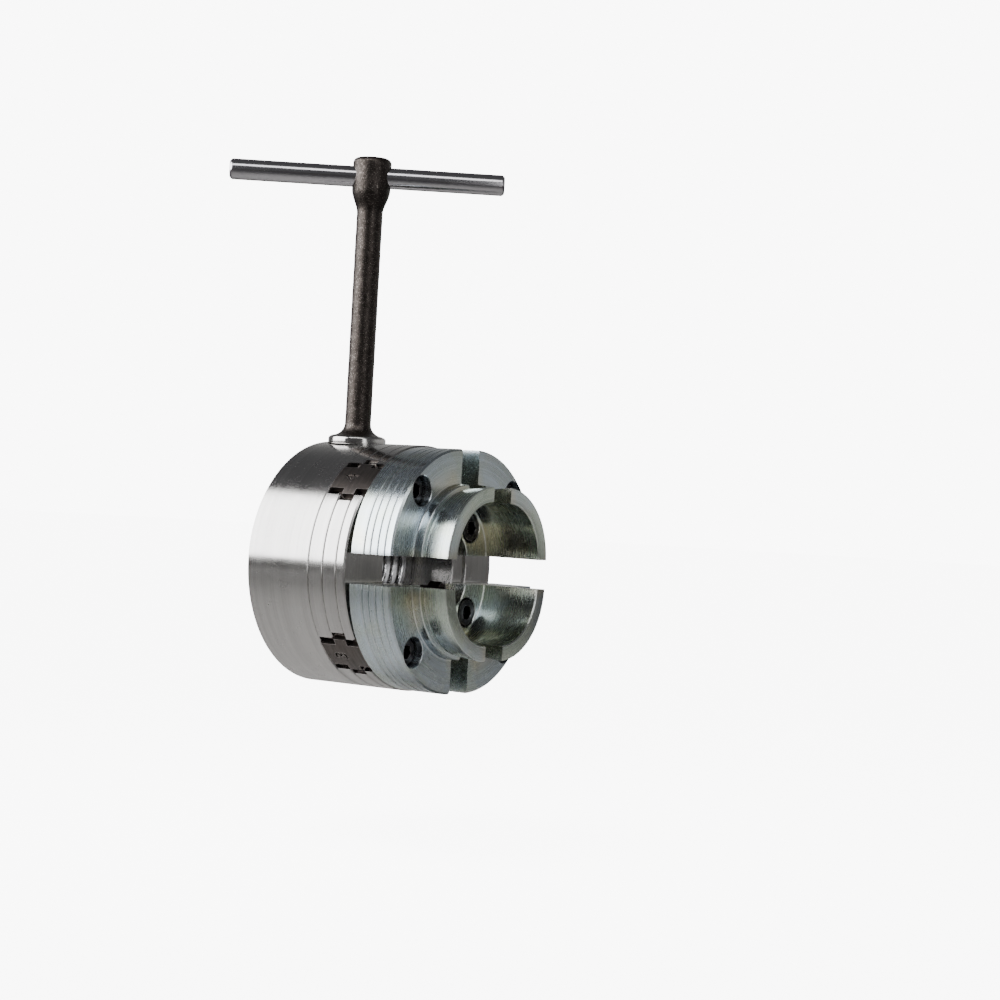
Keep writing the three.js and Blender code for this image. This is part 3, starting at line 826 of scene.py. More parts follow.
@dataclass(frozen=True)
class Effects:
    """The shared shader effects."""

    grain: TurnedGrain
    wear: EdgeWear
    handling: Handling
    skin: ForgedSkin
    tint: PlatingTint

    @classmethod
    def built(cls) -> "Effects":
        """The effects, each built once."""
        return cls(TurnedGrain(), EdgeWear(), Handling(), ForgedSkin(), PlatingTint())


# ------------ finishes


@dataclass(frozen=True)
class Finish:
    """A surface finish.

    Attributes:
        name: what a maker calls it.
        light: its colour where it is clean.
        dark: its colour in the marks and smudges.
        worn: its colour on rubbed edges.
        gloss: roughness where it is smoothest and where it is roughest.
        metallic: how metallic it is.
        wear: how far its edges are rubbed.
    """

    name: str
    light: Colour
    dark: Colour
    worn: Colour = (0.62, 0.61, 0.60)
    gloss: Point = (0.2, 0.32)
    metallic: float = 1.0
    wear: float = 0.5

    def material(self, effects: Effects) -> bpy.types.Material:
        """The finish as a material, made once.

        Args:
            effects: the shared effects.

        Returns:
            The material.
        """
        title = f"{self.name}_finish"
        made = bpy.data.materials.get(title)
        if made:
            return made
        made = bpy.data.materials.new(title)
        made.use_nodes = True
        board = Board(made.node_tree)
        made.node_tree.nodes.clear()
        shader = board.add("ShaderNodeBsdfPrincipled")
        output = board.add("ShaderNodeOutputMaterial")
        board.feed(output.inputs["Surface"], shader.outputs["BSDF"])
        shader.inputs["Metallic"].default_value = self.metallic
        place = board.add("ShaderNodeTexCoord").outputs["Object"]
        colour, roughness, height = self.surface(board, shader, place, effects)
        mask = effects.wear.place(board, Vector=place, Amount=self.wear)["Mask"]
        board.feed(shader.inputs["Base Color"], board.blend(mask, colour, self.worn))
        smooth = board.maths("MULTIPLY", mask, self.gloss[0] - self.gloss[1])
        board.feed(shader.inputs["Roughness"], board.maths("ADD", roughness, smooth, clamp=True))
        bump = board.add("ShaderNodeBump")
        bump.inputs["Distance"].default_value = self.relief() * MM
        board.feed(bump.inputs["Height"], height)
        board.feed(shader.inputs["Normal"], bump.outputs[0])
        return made

    def relief(self) -> float:
        """The depth of the finish's marks, in millimetres."""
        raise NotImplementedError

    def surface(self, board: Board, shader: bpy.types.Node, place: Any, effects: Effects) -> tuple:
        """Wires what is special to the finish, and gives its colour, roughness and height."""
        raise NotImplementedError


@dataclass(frozen=True)
class Turned(Finish):
    """Metal with circular tool marks.

    Attributes:
        pitch: distance between tool marks.
        depth: depth of the marks.
        drift: how soon a mark changes on its way round.
        brushed: how far the marks draw highlights out across them.
        contrast: how strongly the marks show in the colour.
        plated: whether the tints of zinc plate lie over it.
    """

    pitch: float = 0.3
    depth: float = 0.004
    drift: float = 3.0
    brushed: float = 0.6
    contrast: float = 0.35
    plated: bool = False

    def relief(self) -> float:
        """The depth of the tool marks, in millimetres."""
        return self.depth

    def surface(self, board: Board, shader: bpy.types.Node, place: Any, effects: Effects) -> tuple:
        """Wires the tool marks.

        Args:
            board: the material's board.
            shader: its shader.
            place: the piece's own coordinates.
            effects: the shared effects.

        Returns:
            The sockets of its colour, roughness and height.
        """
        marks = effects.grain.place(board, Vector=place, Pitch=self.pitch * MM, Drift=self.drift)
        used = effects.handling.place(board, Vector=place)
        tone = self.light
        if self.plated:
            tone = effects.tint.place(board, Vector=place)["Colour"]
        lines = board.remap(marks["Lines"], (0.3, 0.7), (0.0, self.contrast))
        bands = board.remap(marks["Bands"], (0.35, 0.65), (0.0, self.contrast * 0.7))
        stain = board.remap(used["Smudges"], (0.45, 0.75), (0.0, 0.35))
        share = board.maths("MAXIMUM", board.maths("ADD", lines, bands), stain, clamp=True)
        colour = board.blend(share, tone, self.dark)
        rough = board.remap(
            board.maths("ADD", marks["Lines"], board.maths("MULTIPLY", used["Smudges"], 0.8)),
            (0.6, 1.2), self.gloss,
        )
        scratch = board.maths("MULTIPLY", used["Scratches"], 0.12)
        if self.brushed:
            shader.inputs["Anisotropic"].default_value = self.brushed
            shader.inputs["Anisotropic Rotation"].default_value = 0.25
            around = board.vector("CROSS_PRODUCT", (1.0, 0.0, 0.0), place)
            turned = board.add(
                "ShaderNodeVectorTransform", vector_type="VECTOR",
                convert_from="OBJECT", convert_to="WORLD",
            )
            board.feed(turned.inputs[0], board.vector("NORMALIZE", around.outputs[0]).outputs[0])
            board.feed(shader.inputs["Tangent"], turned.outputs[0])
        height = board.maths("ADD", marks["Lines"], board.maths("MULTIPLY", marks["Bands"], 0.8))
        height = board.maths("SUBTRACT", height, board.maths("MULTIPLY", used["Scratches"], 0.6))
        return colour, board.maths("ADD", rough, scratch), height


@dataclass(frozen=True)
class Skinned(Finish):
    """Forged or oxide-blackened metal.

    Attributes:
        grain: size of its grains.
        depth: depth of its pits.
        speck: colour of its bright specks.
    """

    grain: float = 0.6
    depth: float = 0.05
    speck: Colour = (0.3, 0.27, 0.24)

    def relief(self) -> float:
        """The depth of the pits, in millimetres."""
        return self.depth

    def surface(self, board: Board, shader: bpy.types.Node, place: Any, effects: Effects) -> tuple:
        """Wires the skin.

        Args:
            board: the material's board.
            shader: its shader.
            place: the piece's own coordinates.
            effects: the shared effects.

        Returns:
            The sockets of its colour, roughness and height.
        """
        skin = effects.skin.place(board, Vector=place, Grain=self.grain * MM)
        used = effects.handling.place(board, Vector=place)
        mottle = board.remap(skin["Mottle"], (0.35, 0.65), (0.0, 1.0))
        base = board.blend(mottle, self.dark, self.light)
        colour = board.blend(board.maths("MULTIPLY", skin["Specks"], 0.6), base, self.speck)
        spread = board.maths("ADD", board.maths("MULTIPLY", skin["Specks"], -0.3), used["Smudges"])
        rough = board.remap(spread, (0.2, 0.8), self.gloss)
        return colour, rough, skin["Height"]


BODY_STEEL = Turned(
    "body_steel", light=(0.56, 0.55, 0.54), dark=(0.36, 0.35, 0.345), gloss=(0.18, 0.26), pitch=0.2,
    depth=0.0014, drift=1.1, brushed=0.85, contrast=0.34, wear=0.4,
)
COVER_STEEL = Turned(
    "cover_steel", light=(0.46, 0.455, 0.45), dark=(0.27, 0.265, 0.26), gloss=(0.2, 0.32), pitch=0.4,
    depth=0.003, drift=3.0, brushed=0.8, contrast=0.4,
)
INSERT_STEEL = Turned(
    "insert_steel", light=(0.38, 0.38, 0.39), dark=(0.2, 0.2, 0.205), gloss=(0.2, 0.32), pitch=0.3,
    depth=0.003, brushed=0.7, contrast=0.4,
)
SLIDE_STEEL = Turned(
    "slide_steel", light=(0.135, 0.118, 0.11), dark=(0.07, 0.062, 0.058), worn=(0.5, 0.48, 0.46),
    gloss=(0.34, 0.44), pitch=0.3, depth=0.003, drift=6.0, brushed=0.5, contrast=0.5, wear=1.0,
)
JAW_PLATE = Turned(
    "jaw_plate", light=(0.66, 0.69, 0.66), dark=(0.40, 0.43, 0.40), worn=(0.9, 0.91, 0.9),
    gloss=(0.22, 0.31), pitch=0.3, depth=0.0014, drift=0.9, brushed=0.8, contrast=0.34, plated=True,
    wear=0.7,
)
GEAR_STEEL = Turned(
    "gear_steel", light=(0.30, 0.29, 0.28), dark=(0.14, 0.135, 0.13), gloss=(0.22, 0.34), pitch=0.3,
    depth=0.003, brushed=0.4, contrast=0.4, wear=0.8,
)
BAR_STEEL = Turned(
    "bright_bar", light=(0.50, 0.49, 0.51), dark=(0.34, 0.33, 0.35), gloss=(0.13, 0.19), pitch=0.16,
    depth=0.0006, drift=9.0, brushed=0.3, contrast=0.22, wear=0.3,
)
COLLAR_STEEL = Turned(
    "collar_steel", light=(0.60, 0.59, 0.58), dark=(0.30, 0.29, 0.28), gloss=(0.12, 0.2), pitch=0.3,
    depth=0.002, brushed=0.0, contrast=0.4, wear=0.5,
)
FORGED_STEEL = Skinned(
    "forged_steel", light=(0.05, 0.042, 0.038), dark=(0.03, 0.025, 0.022), worn=(0.26, 0.24, 0.22),
    gloss=(0.28, 0.42), metallic=0.9, wear=0.5, grain=0.45, depth=0.07, speck=(0.30, 0.27, 0.25),
)
BLACK_OXIDE = Skinned(
    "black_screw", light=(0.04, 0.04, 0.042), dark=(0.018, 0.018, 0.019), worn=(0.3, 0.3, 0.3),
    gloss=(0.28, 0.44), metallic=0.8, wear=0.8, grain=0.35, depth=0.01, speck=(0.09, 0.09, 0.09),
)
SPRING_STEEL = Skinned(
    "spring_steel", light=(0.11, 0.11, 0.12), dark=(0.06, 0.06, 0.066), gloss=(0.25, 0.4),
    metallic=0.9, wear=0.6, grain=0.4, depth=0.006, speck=(0.16, 0.16, 0.17),
)


# ------------ the chuck


@dataclass(frozen=True)
class Layout:
    """Sizes and places that more than one sub-assembly shares.

    Attributes:
        rear: where the body's rear face is along X.
        length, radius: size of the body.
        effects: the shared shader effects.
        clearance: play between a piece and its neighbour.
        slot_rear, slot_half: rear station and half width of the T-slots.
        wing_rear, wing_front, wing_reach: stations and extra half width of the slots' wings.
        hub_radius, hub_wall: radius and wall of the hub that the scroll turns on.
        cavity_wall, cavity_depth: wall outside the scroll's cavity, and station of its floor.
        cover_thick, cover_lip: thickness of the rear cover, and the step round its edge.
        cover_screws, screw_inset: number of the cover's screws, and how far in they stand.
        jaw_count, jaw_standoff, jaw_opening: number, gap to the body and distance out of the jaws.
        pinion_axis: station of the pinion's and the key's axis.
        pinion_teeth, ring_teeth: numbers of teeth.
        gear_outer, gear_inner: how far the teeth's ends are from the gears' apex.
        addendum, dedendum: height of a tooth above its pitch line, and depth below it.
        journal_radius, journal_sink: radius of the pinion's journal, and depth of its end.
        pilot_radius, pilot_wall: radius of the pinion's pivot, and wall in front of its bore.
        pin_radius, pin_length, pin_side, pin_sink: size and place of the pin that holds the pinion.
        retainer_bite, retainer_thick: depth in the hub and thickness of the retaining ring.
        collar_radius, key_spot: radius of the key's collar, and depth of its seat.
        key_square, key_turn: size of the key's square, and how far it is turned.
        scroll_pitch, scroll_ridge: advance of the scroll in a turn, and width of its ridge.
    """

    rear: float
    length: float
    radius: float
    effects: Effects
    clearance: float = 0.3
    slot_rear: float = 28.9
    slot_half: float = 8.3
    wing_rear: float = 35.5
    wing_front: float = 41.6
    wing_reach: float = 2.5
    hub_radius: float = 25.0
    hub_wall: float = 4.7
    cavity_wall: float = 6.5
    cavity_depth: float = 32.2
    cover_thick: float = 1.9
    cover_lip: float = 1.8
    cover_screws: int = 6
    screw_inset: float = 2.4
    jaw_count: int = 4
    jaw_standoff: float = 1.8
    jaw_opening: float = 6.6
    pinion_axis: float = 12.0
    pinion_teeth: int = 9
    ring_teeth: int = 45
    gear_outer: float = 37.5
    gear_inner: float = 30.0
    addendum: float = 1.45
    dedendum: float = 1.9
    journal_radius: float = 9.2
    journal_sink: float = 1.1
    pilot_radius: float = 3.2
    pilot_wall: float = 0.5
    pin_radius: float = 1.1
    pin_length: float = 17.0
    pin_side: float = 8.9
    pin_sink: float = 2.5
    retainer_bite: float = 1.0
    retainer_thick: float = 1.2
    collar_radius: float = 11.0
    key_spot: float = 0.9
    key_square: float = 6.0
    key_turn: float = math.radians(37)
    scroll_pitch: float = 5.0
    scroll_ridge: float = 2.3

    @classmethod
    def measured(cls, effects: Effects) -> "Layout":
        """The layout, with the body's size taken from the frame."""
        low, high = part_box("chuck_body")
        return cls(low.x / MM, (high.x - low.x) / MM, (high.z - low.z) / 2 / MM, effects)

    @property
    def jaw_rear(self) -> float:
        """Station of the jaws' rear faces."""
        return self.length + self.jaw_standoff

    @property
    def hub_bore(self) -> float:
        """Radius of the hub's bore."""
        return self.hub_radius - self.hub_wall

    @property
    def screw_circle(self) -> float:
        """Radius of the circle that the cover's screws stand on."""
        return self.radius - self.cover_lip - self.screw_inset

    @property
    def cavity_radius(self) -> float:
        """Radius of the cavity that holds the scroll."""
        return self.radius - self.cavity_wall

    @property
    def key_seat(self) -> float:
        """Height of the key's seat above the spindle axis."""
        return self.radius - self.key_spot

    @property
    def journal_front(self) -> float:
        """Height of the pinion's outer end."""
        return self.key_seat - self.journal_sink

    @property
    def pin_height(self) -> float:
        """Height of the pin that holds the pinion."""
        return self.journal_front - self.pin_sink

    @property
    def retainer_groove(self) -> float:
        """Station of the rear side of the scroll retaining ring's groove."""
        return self.pinion_axis + self.pilot_radius + self.clearance + self.pilot_wall

    @property
    def collar_rear(self) -> float:
        """Station of the scroll ring's rear face."""
        return self.retainer_groove + self.retainer_thick + 2 * self.clearance

    def jaw_turn(self, number: int) -> float:
        """The angle about X of a jaw; 12 o'clock is zero."""
        return (self.jaw_count - number + 0.5) * math.tau / self.jaw_count

    def chuck_place(self) -> Matrix:
        """Where pieces about the spindle axis go."""
        return Matrix.Translation((self.rear * MM, 0.0, 0.0))

    def unit_place(self, number: int, out: float = 0.0, along: float = 0.0) -> Matrix:
        """Where a piece of a jaw unit goes, from how far out its axis is and its origin's station."""
        turned = self.chuck_place() @ Matrix.Rotation(self.jaw_turn(number), 4, "X")
        return turned @ Matrix.Translation((along * MM, 0.0, out * MM))

    def key_place(self, turn: float = 0.0) -> Matrix:
        """Where pieces about the key's axis go, turned about it."""
        standing = self.chuck_place() @ Matrix.Translation((self.pinion_axis * MM, 0.0, 0.0))
        return standing @ Matrix.Rotation(turn, 4, "Z")

    def slide_section(self, grow: float, front: float) -> Outline:
        """The T section of a slide or of its slot.

        Args:
            grow: how much larger than the slide it is all round.
            front: station of its front.

        Returns:
            Its (x, y) points.
        """
        half = self.slot_half - self.clearance + grow
        wing = half + self.wing_reach
        back = self.slot_rear + self.clearance - grow
        wing_back = self.wing_rear + self.clearance - grow
        wing_front = self.wing_front - self.clearance + grow
        right = [
            (back, half), (wing_back, half), (wing_back, wing),
            (wing_front, wing), (wing_front, half), (front, half),
        ]
        return [(x, -y) for x, y in right] + right[::-1]

    def fit(self, name: str, mesh: bpy.types.Mesh, finishes: tuple[Finish, ...], body: str, slot: str,
            place: Matrix) -> bpy.types.Object:
        """Puts a finished piece into the frame in place of the node of its name.

        Args:
            name: the CAD node that it stands for.
            mesh: its mesh.
            finishes: its finishes, in the order of the mesh's material numbers.
            body: the body that it moves with.
            slot: the record's material slot; not used.
            place: where it goes.

        Returns:
            The piece.
        """
        piece = placed(f"{name}_finished", mesh)
        piece.matrix_world = place
        if not mesh.materials:
            for finish in finishes:
                mesh.materials.append(finish.material(self.effects))
        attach(piece, body)
        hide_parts(name)
        log.info("%s: %d faces, rides on %s", piece.name, len(mesh.polygons), body)
        return piece

    def fit_to_chuck(self, name: str, blank: Blank, finish: Finish, slot: str) -> None:
        """Fits a solid that stays with the body and lies about the spindle axis."""
        self.fit(name, blank.mesh(), (finish,), "chuck", slot, self.chuck_place())


@dataclass
class ChuckBody:
    """The steel body with its four T-slots, scroll cavity, hub and key bore.

    Attributes:
        layout: the shared sizes.
        edge: size of its outer chamfers.
        mark_width, mark_depth: size of the fine grooves round it.
        hub_length: how far the hub's bore reaches in.
        front_bore: radius of the bore at its front.
        recess_radius, recess_depth: size of the shallow recess in its front face.
        tapped_radius, tapped_depth: size of the holes for the cover's screws.
    """

    layout: Layout
    edge: float = 0.6
    mark_width: float = 0.8
    mark_depth: float = 0.55
    hub_length: float = 28.6
    front_bore: float = 22.0
    recess_radius: float = 29.2
    recess_depth: float = 1.0
    tapped_radius: float = 1.55
    tapped_depth: float = 10.3

    def outline(self) -> Outline:
        """The outline that the body is turned to."""
        at = self.layout
        seat = at.cover_thick + at.clearance
        rim = at.radius - at.cover_lip + at.clearance
        groove = at.hub_radius - at.retainer_bite - at.clearance
        recess = at.length - self.recess_depth
        marks = grooved(
            at.radius, (at.slot_rear, at.wing_rear, at.wing_front), self.mark_width, self.mark_depth,
        )
        return [
            (rim, 0.0), (at.radius - self.edge, 0.0), (at.radius, self.edge),
            *marks,
            (at.radius, at.length - self.edge), (at.radius - self.edge, at.length),
            (self.recess_radius + BREAK, at.length), (self.recess_radius, at.length - BREAK),
            (self.recess_radius, recess), (self.front_bore + CHAMFER, recess),
            (self.front_bore, recess - CHAMFER), (self.front_bore, self.hub_length),
            (at.hub_bore, self.hub_length), (at.hub_bore, CHAMFER), (at.hub_bore + CHAMFER, 0.0),
            (at.hub_radius, 0.0),
            (at.hub_radius, at.retainer_groove), (groove, at.retainer_groove), (groove, at.collar_rear),
            (at.hub_radius, at.collar_rear), (at.hub_radius, at.cavity_depth),
            (at.cavity_radius, at.cavity_depth), (at.cavity_radius, seat), (rim, seat),
        ]

    def build(self) -> None:
        """Builds the body and fits it."""
        at = self.layout
        gap = at.clearance
        outside = at.radius + OVERRUN
        body = Blank.turned(self.outline(), FINE)
        slot = Blank.prism(at.slide_section(gap, at.length + OVERRUN), 0.0, outside, Axis.KEY)
        step = math.tau / at.jaw_count
        body.cut(*slot.around(at.jaw_count, step / 2))
        over = (at.pinion_axis, 0.0)
        spot = Blank.rod(at.collar_radius + gap, at.key_seat - gap, outside, MEDIUM, Axis.KEY, over)
        bore = Blank.rod(at.journal_radius + gap, at.gear_outer + gap, outside, MEDIUM, Axis.KEY, over)
        hub = (at.hub_bore - OVERRUN, at.hub_radius + OVERRUN)
        pilot = Blank.rod(at.pilot_radius + gap, *hub, SMALL, Axis.KEY, over)
        pin_end = at.cover_thick + at.pin_length + 2 * gap
        pin = Blank.rod(at.pin_radius + gap, -OVERRUN, pin_end, SMALL, at=(at.pin_side, at.pin_height))
        body.cut(spot, bore, pilot, pin)
        circle = (0.0, at.screw_circle)
        tapped = Blank.rod(self.tapped_radius, -OVERRUN, self.tapped_depth, SMALL, at=circle)
        body.cut(*tapped.around(at.cover_screws, math.pi / at.cover_screws))
        at.fit_to_chuck("chuck_body", body, BODY_STEEL, "body_steel")


@dataclass
class RearGroup:
    """The rear cover with its screws, and the spindle insert with its lock screw.

    Attributes:
        layout: the shared sizes.
        screw_radius, screw_head, screw_length, screw_hex: size of a cover screw and its socket.
        screw_pitch, screw_thread, screw_sides: pitch, depth and steps of its thread.
        flange_length, flange_step, flange_cut: length, step and wrench flats of the insert's flange.
        edge, mouth: size of the insert's outer chamfers and of the one at its rear mouth.
        insert_length: how far the insert reaches in.
        thread_bore, thread_pitch, thread_depth, thread_sides: the spindle thread and its steps.
        thread_end, thread_fade, thread_lead: where it ends, its run-out and the chamfer before it.
        register_bore, register_depth: size of the register behind the thread.
        lock_radius, lock_length, lock_point: size of the lock screw and of its point.
        lock_pitch, lock_thread, lock_sides: pitch, depth and steps of its thread.
        lock_hex, lock_hex_depth: size of its socket.
    """

    layout: Layout
    screw_radius: float = 1.25
    screw_head: float = 2.0
    screw_length: float = 10.0
    screw_pitch: float = 0.45
    screw_thread: float = 0.22
    screw_sides: int = 97
    screw_hex: float = 1.5
    flange_length: float = 8.0
    flange_step: float = 0.5
    flange_cut: float = 2.5
    edge: float = 0.6
    mouth: float = 0.5
    insert_length: float = 27.0
    thread_bore: float = 14.6
    thread_pitch: float = 3.5
    thread_depth: float = 1.8
    thread_end: float = 0.7
    thread_fade: float = 1.5
    thread_sides: int = 84
    thread_lead: float = 1.0
    register_bore: float = 16.7
    register_depth: float = 5.0
    lock_radius: float = 2.5
    lock_length: float = 6.6
    lock_pitch: float = 0.8
    lock_thread: float = 0.35
    lock_sides: int = 60
    lock_point: float = 1.0
    lock_hex: float = 2.5
    lock_hex_depth: float = 2.6

    @property
    def head_depth(self) -> float:
        """Depth of a cover screw's countersunk head."""
        return self.screw_head - self.screw_radius

    def cover(self) -> None:
        """Builds the rear cover, a turned plate with six countersinks."""
        at = self.layout
        inner = at.hub_radius + at.clearance
        outer = at.radius - at.cover_lip
        corners = [(inner, 0.0), (outer, 0.0), (outer, at.cover_thick), (inner, at.cover_thick)]
        cover = Blank.turned(softened(corners, {0: CHAMFER, 1: CHAMFER}), FINE)
        head, shank = self.screw_head + at.clearance, self.screw_radius + at.clearance
        through = at.cover_thick + OVERRUN
        sink = Blank.turned([
            (0.0, -OVERRUN), (head, -OVERRUN), (head, 0.0), (shank, self.head_depth),
            (shank, through), (0.0, through),
        ], SMALL).moved(Matrix.Translation((0.0, 0.0, at.screw_circle)))
        cover.cut(*sink.around(at.cover_screws, math.pi / at.cover_screws))
        at.fit_to_chuck("rear_cover", cover, COVER_STEEL, "cover_steel")

    def cover_screws(self) -> None:
        """Builds the six countersunk screws that hold the cover."""
        at = self.layout
        start = self.head_depth + BREAK
        end = self.screw_length - self.screw_thread
        outline = [
            (0.0, 0.0), (self.screw_head - 0.1, 0.0), (self.screw_head, 0.12),
            (self.screw_radius, self.head_depth),
            *threadable(self.screw_radius, start, end, self.screw_sides),
            (self.screw_radius - CHAMFER, self.screw_length), (0.0, self.screw_length),
        ]
        thread = helix(self.screw_pitch, self.screw_thread, start, self.screw_length - 0.2, CHAMFER)
        screw = Blank.turned(outline, SMALL, ripple=thread)
        hexagon = Blank.prism(polygon(6, self.screw_hex), -OVERRUN, start, Axis.SPINDLE)
        mesh = screw.cut(hexagon).mesh()
        out = Matrix.Translation((0.0, 0.0, at.screw_circle * MM))
        for index in range(at.cover_screws):
            turn = (index + 0.5) * math.tau / at.cover_screws
            place = at.chuck_place() @ Matrix.Rotation(turn, 4, "X") @ out
            at.fit(f"rear_cover_screw_{index + 1}", mesh, (BLACK_OXIDE,), "chuck", "black_screw", place)

    def insert(self) -> None:
        """Builds the threaded spindle insert."""
        at = self.layout
        barrel = at.hub_bore - at.clearance
        flange = at.hub_radius - self.flange_step
        rear, front = -self.flange_length, self.insert_length
        start = rear + self.register_depth
        outline = [
            (self.register_bore + self.mouth, rear), (flange - self.edge, rear),
            (flange, rear + self.edge), (flange, -at.clearance), (barrel, -at.clearance),
            (barrel, front - self.edge), (barrel - self.edge, front),
            (self.thread_bore + self.thread_lead, front),
            *threadable(self.thread_bore, front - self.edge, start + BREAK, self.thread_sides),
            (self.thread_bore, start), (self.register_bore, start),
            (self.register_bore, rear + self.mouth),
        ]
        thread = helix(
            self.thread_pitch, -self.thread_depth, start + self.mouth, front - self.thread_end,
            self.thread_fade,
        )

        def ripple(radius: float, along: float, turn: float) -> float:
            """Threads the bore and leaves the rest round."""
            return thread(radius, along, turn) if radius == self.thread_bore else radius

        insert = Blank.turned(outline, MEDIUM * 2, ripple=ripple)
        reach = flange + OVERRUN
        flat = flange - self.flange_cut
        stations = (rear - OVERRUN, -at.clearance / 2)
        lock_bore = self.lock_radius + at.clearance
        insert.cut(
            Blank.box(stations, (flat, reach), (-reach, reach)),
            Blank.box(stations, (-reach, -flat), (-reach, reach)),
            Blank.rod(lock_bore, -reach, 0.0, SMALL, Axis.KEY, (rear / 2, 0.0)),
        )
        at.fit_to_chuck("spindle_insert", insert, INSERT_STEEL, "insert_steel")

    def lock_screw(self) -> None:
        """Builds the screw that locks the insert to the spindle, with its point up."""
        at = self.layout
        outer = at.hub_radius - self.flange_step - at.clearance
        radius, length = self.lock_radius, self.lock_length
        end = length - self.lock_point
        outline = [
            (0.0, 0.0), (radius - self.lock_thread, 0.0),
            *threadable(radius, CHAMFER, end, self.lock_sides),
            (radius - 0.9, length), (0.0, length),
        ]
        thread = helix(self.lock_pitch, self.lock_thread, CHAMFER, end, self.mouth)
        hexagon = Blank.prism(polygon(6, self.lock_hex), -OVERRUN, self.lock_hex_depth, Axis.SPINDLE)
        mesh = Blank.turned(outline, SMALL, ripple=thread).cut(hexagon).mesh()
        place = at.chuck_place() @ Matrix.Translation((-self.flange_length / 2 * MM, 0.0, -outer * MM))
        place = place @ Matrix.Rotation(-math.pi / 2, 4, "Y")
        at.fit("spindle_lock_screw", mesh, (BLACK_OXIDE,), "chuck", "black_screw", place)

    def build(self) -> None:
        """Builds the group."""
        self.cover()
        self.cover_screws()
        self.insert()
        self.lock_screw()


